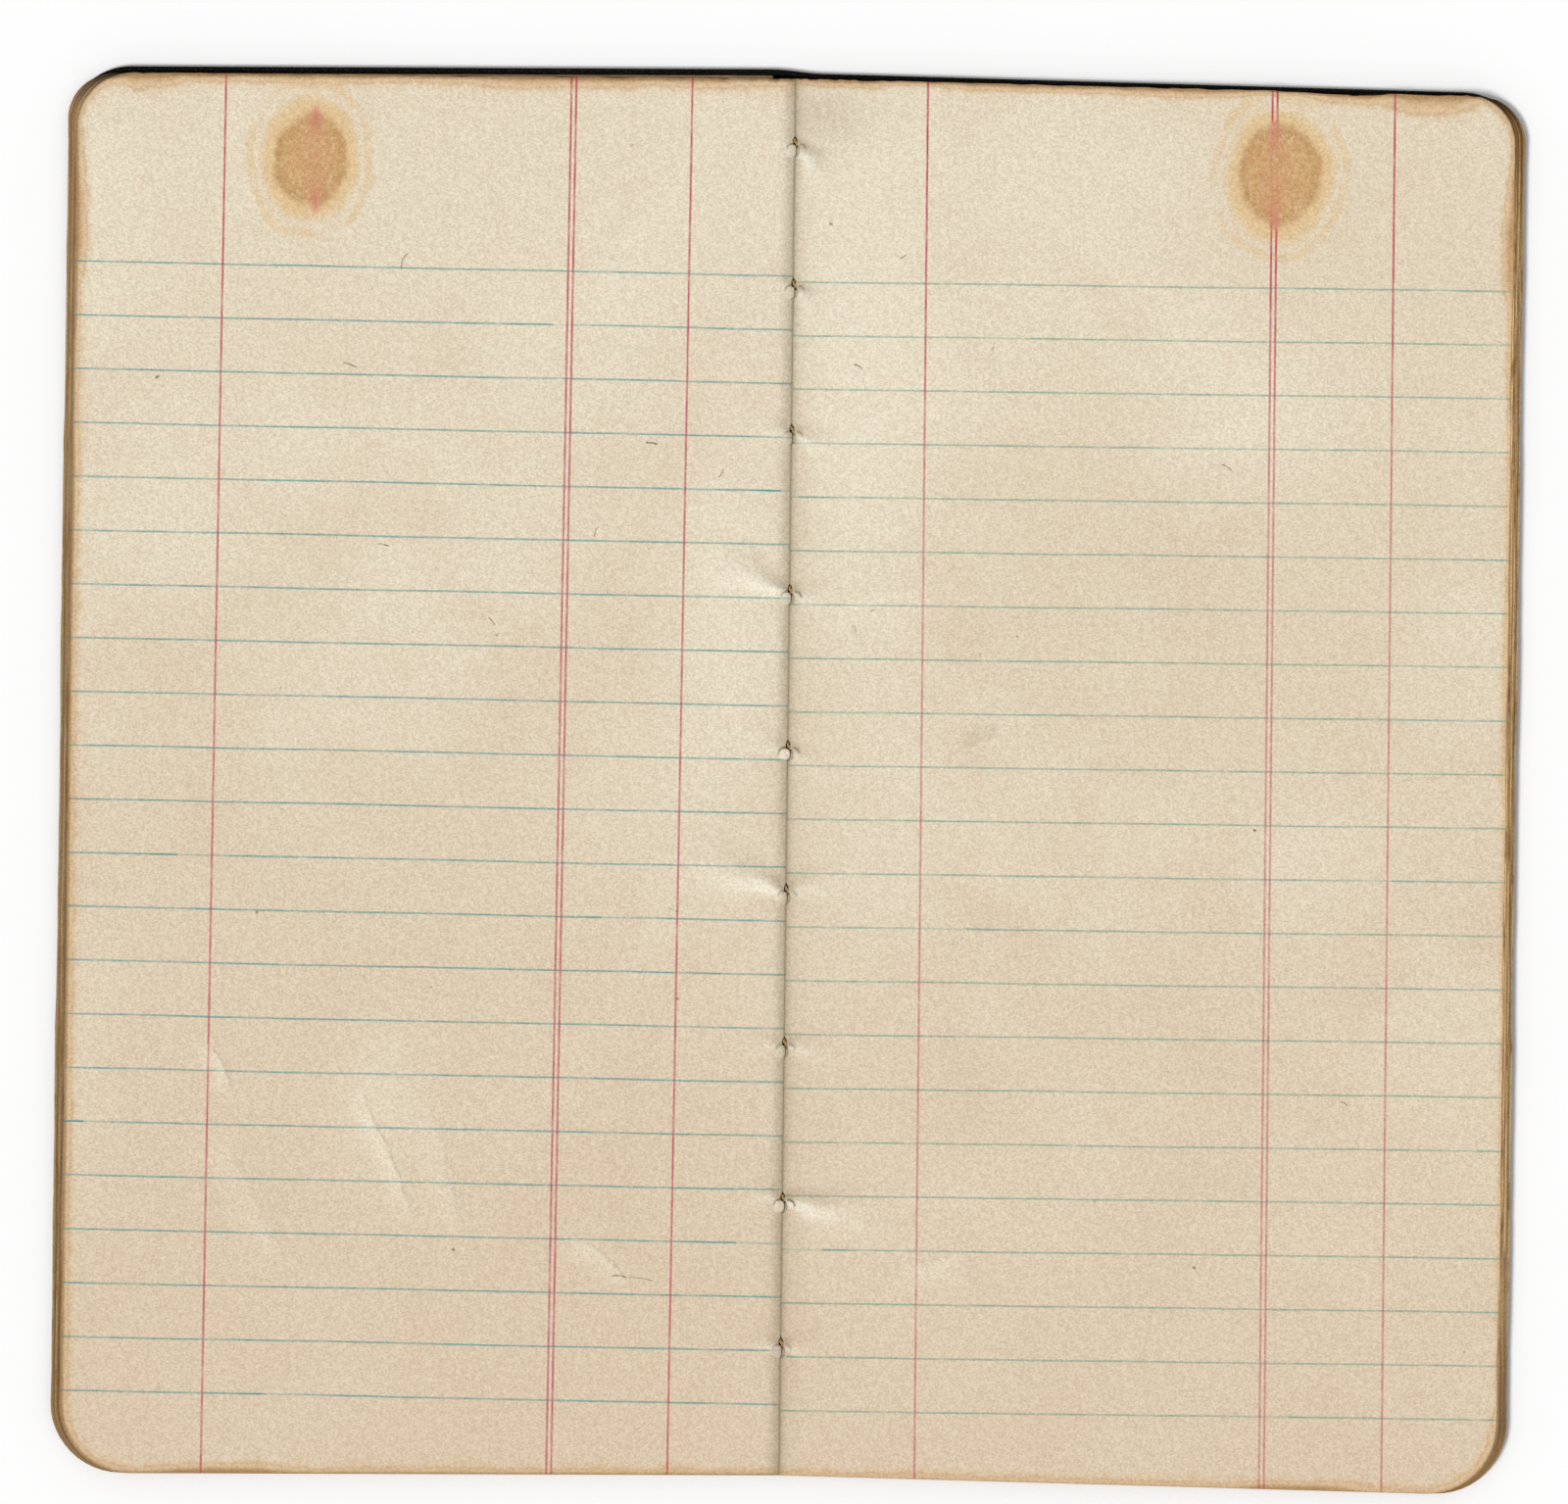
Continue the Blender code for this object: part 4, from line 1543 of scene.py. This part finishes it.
def thread_route():
    """Middle line of the thread: along the back of the fold, and up and over in every hole."""
    size = sizes()
    bend = 1.4 * size.thread_radius
    low = COVER_BOX[1].z + 0.05 * MM + size.thread_radius
    high = TOP_LEAF["right"][1].z - 0.2 * MM - size.thread_radius
    aside = 0.24 * MM
    places = stitch_places()
    route = [(0.0, places[0] + size.thread_tail, low)]
    turns = [(math.sin(t), math.cos(t)) for t in np.linspace(0, math.pi / 2, 6)]
    for place in places:
        near = place + size.stitch_rise + size.stitch_length / 2
        far = place + size.stitch_rise - size.stitch_length / 2
        route += [(0.0, near + bend - bend * sin, low + bend * (1 - cos)) for sin, cos in turns]
        route += [(0.02 * MM, near - bend * (1 - cos), high - bend * (1 - sin)) for sin, cos in turns]
        for share in (0.25, 0.5, 0.75):
            route.append((aside * share, near - bend + (far - near + 2 * bend) * share, high))
        route += [(aside, far + bend * (1 - sin), high - bend * (1 - cos)) for sin, cos in turns]
        route += [(aside * cos, far - bend * (1 - cos), low + bend * (1 - sin)) for sin, cos in turns]
    route.append((0.0, places[-1] - size.thread_tail, low))
    return np.array(route)


def even_steps(route, step):
    """Points along a line at an even step, and how far along it each one lies."""
    lengths = np.linalg.norm(np.diff(route, axis=0), axis=1)
    travelled = np.concatenate([[0], np.cumsum(lengths)])
    wanted = np.linspace(0, travelled[-1], int(travelled[-1] / step))
    line = np.stack([np.interp(wanted, travelled, route[:, i]) for i in range(3)], -1)
    for _ in range(3):
        line[1:-1] = (line[:-2] + 2 * line[1:-1] + line[2:]) / 4
    return wanted, line


class LEDGER_OT_thread(bpy.types.Operator):
    """Makes the sewing thread as two plies twisted round each other"""

    bl_idname = "ledger.thread"
    bl_label = "Sewing thread"

    def execute(self, context):
        travelled, line = even_steps(thread_route(), 0.13 * MM)
        ahead = np.gradient(line, axis=0)
        ahead /= np.linalg.norm(ahead, axis=1)[:, None]
        up = np.cross(ahead, [1.0, 0.0, 0.0])
        up /= np.linalg.norm(up, axis=1)[:, None]
        aside = np.cross(up, ahead)

        def spoke(angle):
            return aside[:, None] * np.cos(angle)[..., None] + up[:, None] * np.sin(angle)[..., None]

        ply = sizes().thread_radius * 0.53
        ring = 8
        corners = np.arange(ring) * 2 * math.pi / ring
        points, faces, ply_shades = [], [], []
        for strand in range(2):
            phase = (2 * math.pi * travelled / sizes().thread_twist + math.pi * strand)[:, None]
            points.append(line[:, None] + ply * (0.85 * spoke(phase) + spoke(corners[None])))
            # Painted shade where each ply turns towards the other.
            ply_shades.append(np.maximum(0.0, -np.cos(corners - phase)) ** 2)
            index = np.arange(ply_shades[-1].size).reshape(-1, ring) + strand * ply_shades[-1].size
            beside = np.roll(index, -1, 1)
            quads = np.stack([index[:-1], beside[:-1], beside[1:], index[1:]], -1)
            faces += [*quads.reshape(-1, 4).tolist(), index[0, ::-1].tolist(), index[-1].tolist()]
        mesh = bpy.data.meshes.new("twisted_thread")
        mesh.from_pydata(np.concatenate(points).reshape(-1, 3).tolist(), [], faces)
        mesh.shade_smooth()
        add_marks(mesh, {"groove": np.concatenate(ply_shades).reshape(-1)})
        piece = new_piece("twisted_thread", mesh, thread_material())
        finish_piece(piece, "spine", "thread", "sewing_thread")
        return {"FINISHED"}


# Stage

ROOM_LIGHT = 0.47
SUN_LIGHT = 0.54
SUN_HEIGHT = math.radians(62)
SUN_SPREAD = math.radians(18)
FLOOR_HALF = 3.0
FLOOR_DROP = 0.05 * MM
LENS_MM = 300.0
SENSOR_MM = 36.0
CLIP_END = 50.0


def floor_material():
    """Pale matt board with a very faint mottle."""
    material, nodes, shader = new_material("pale_floor", roughness=0.9, specular=0.1)
    pale = colours().floor
    mottle = nodes.get("ShaderNodeTexCoord", None, "Object").noise(40.0)
    nodes.join(nodes.mix(mottle, [part * 0.985 for part in pale], pale), shader["Base Color"])
    return material


class LEDGER_OT_stage(bpy.types.Operator):
    """Makes the pale floor, the soft light and the camera straight above the spread"""

    bl_idname = "ledger.stage"
    bl_label = "Stage"

    def execute(self, context):
        scene = context.scene
        scene.view_settings.view_transform = "Standard"
        mesh = bpy.data.meshes.new("floor")
        grid = bmesh.new()
        bmesh.ops.create_grid(grid, x_segments=8, y_segments=8, size=FLOOR_HALF)
        grid.to_mesh(mesh)
        grid.free()
        floor = new_piece("floor", mesh, floor_material())
        floor.location.z = -FLOOR_DROP
        floor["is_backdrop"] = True
        self.add_light(scene)
        self.add_camera(scene)
        return {"FINISHED"}

    def add_light(self, scene):
        """Even white surroundings that light the book softly, and a broad sun from the head."""
        world = bpy.data.worlds.new("white_room")
        world.use_nodes = True
        world.node_tree.nodes.clear()
        nodes = Nodes(world.node_tree)
        path = nodes.outputs(nodes.add("ShaderNodeLightPath"))
        soft, seen = (
            nodes.get("ShaderNodeBackground", {"Color": (1, 1, 1), "Strength": strength})
            for strength in (ROOM_LIGHT, 1.0)
        )
        shown = path.is_camera_ray.most(path.is_glossy_ray)
        mixed = nodes.get("ShaderNodeMixShader", {0: shown, 1: soft, 2: seen})
        nodes.add("ShaderNodeOutputWorld", {"Surface": mixed})
        scene.world = world
        lamp = bpy.data.lights.new("window", "SUN")
        lamp.angle = SUN_SPREAD
        lamp.energy = SUN_LIGHT * math.pi / math.sin(SUN_HEIGHT)
        sun = bpy.data.objects.new("window", lamp)
        toward = Vector((0.8, 0.6, -math.tan(SUN_HEIGHT)))
        sun.rotation_euler = toward.to_track_quat("-Z", "Y").to_euler()
        scene.collection.objects.link(sun)

    def add_camera(self, scene):
        """A long lens above the spread, framed and turned so that the fold lies as in the photo."""
        across = FOLD_HEAD_PIXEL[0] - FOLD_TAIL_PIXEL[0]
        along = FOLD_TAIL_PIXEL[1] - FOLD_HEAD_PIXEL[1]
        metres = sizes().page_height / math.hypot(across, along)
        roll = math.atan2(across, along)
        right = PHOTO_SIZE[0] / 2 - (FOLD_HEAD_PIXEL[0] + FOLD_TAIL_PIXEL[0]) / 2
        above = (FOLD_HEAD_PIXEL[1] + FOLD_TAIL_PIXEL[1]) / 2 - PHOTO_SIZE[1] / 2
        camera = bpy.data.cameras.new("camera")
        camera.lens = LENS_MM
        camera.sensor_width = SENSOR_MM
        camera.clip_end = CLIP_END
        distance = metres * PHOTO_SIZE[0] * camera.lens / camera.sensor_width
        eye = bpy.data.objects.new("camera", camera)
        eye.location.x = metres * (right * math.cos(roll) - above * math.sin(roll))
        eye.location.y = (head() + tail()) / 2
        eye.location.y += metres * (right * math.sin(roll) + above * math.cos(roll))
        eye.location.z = TOP_LEAF["right"][1].z + distance
        eye.rotation_euler.z = roll
        scene.collection.objects.link(eye)
        scene.camera = eye


PIECES = (
    LEDGER_OT_stage,
    LEDGER_OT_cloth,
    LEDGER_OT_boards,
    LEDGER_OT_linings,
    LEDGER_OT_guard,
    LEDGER_OT_thread,
    LEDGER_OT_leaves,
)


class LEDGER_PT_pieces(bpy.types.Panel):
    """Lists the pieces of the ledger and their sizes and colours"""

    bl_label = "Pocket ledger"
    bl_idname = "LEDGER_PT_pieces"
    bl_space_type = "VIEW_3D"
    bl_region_type = "UI"
    bl_category = "Ledger"

    def draw(self, context):
        layout = self.layout
        for piece in PIECES:
            layout.operator(piece.bl_idname)
        for group in (context.scene.ledger_sizes, context.scene.ledger_colours):
            column = layout.column(align=True)
            for name in group.__annotations__:
                column.prop(group, name)


CLASSES = (LedgerSizes, LedgerColours, *PIECES, LEDGER_PT_pieces)


def register():
    for each in CLASSES:
        bpy.utils.register_class(each)
    bpy.types.Scene.ledger_sizes = PointerProperty(type=LedgerSizes)
    bpy.types.Scene.ledger_colours = PointerProperty(type=LedgerColours)


def unregister():
    del bpy.types.Scene.ledger_colours
    del bpy.types.Scene.ledger_sizes
    for each in reversed(CLASSES):
        bpy.utils.unregister_class(each)


def main():
    register()
    bpy.ops.ledger.stage()
    bpy.ops.ledger.cloth()
    bpy.ops.ledger.boards()
    bpy.ops.ledger.linings()
    bpy.ops.ledger.guard()
    bpy.ops.ledger.thread()
    bpy.ops.ledger.leaves()
    bpy.context.view_layer.update()
    boxes = {"cad": CAD_BOX, "visual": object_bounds()}
    {name: [list(corner) for corner in box] for name, box in boxes.items()}


if __name__ == "__main__":
    main()
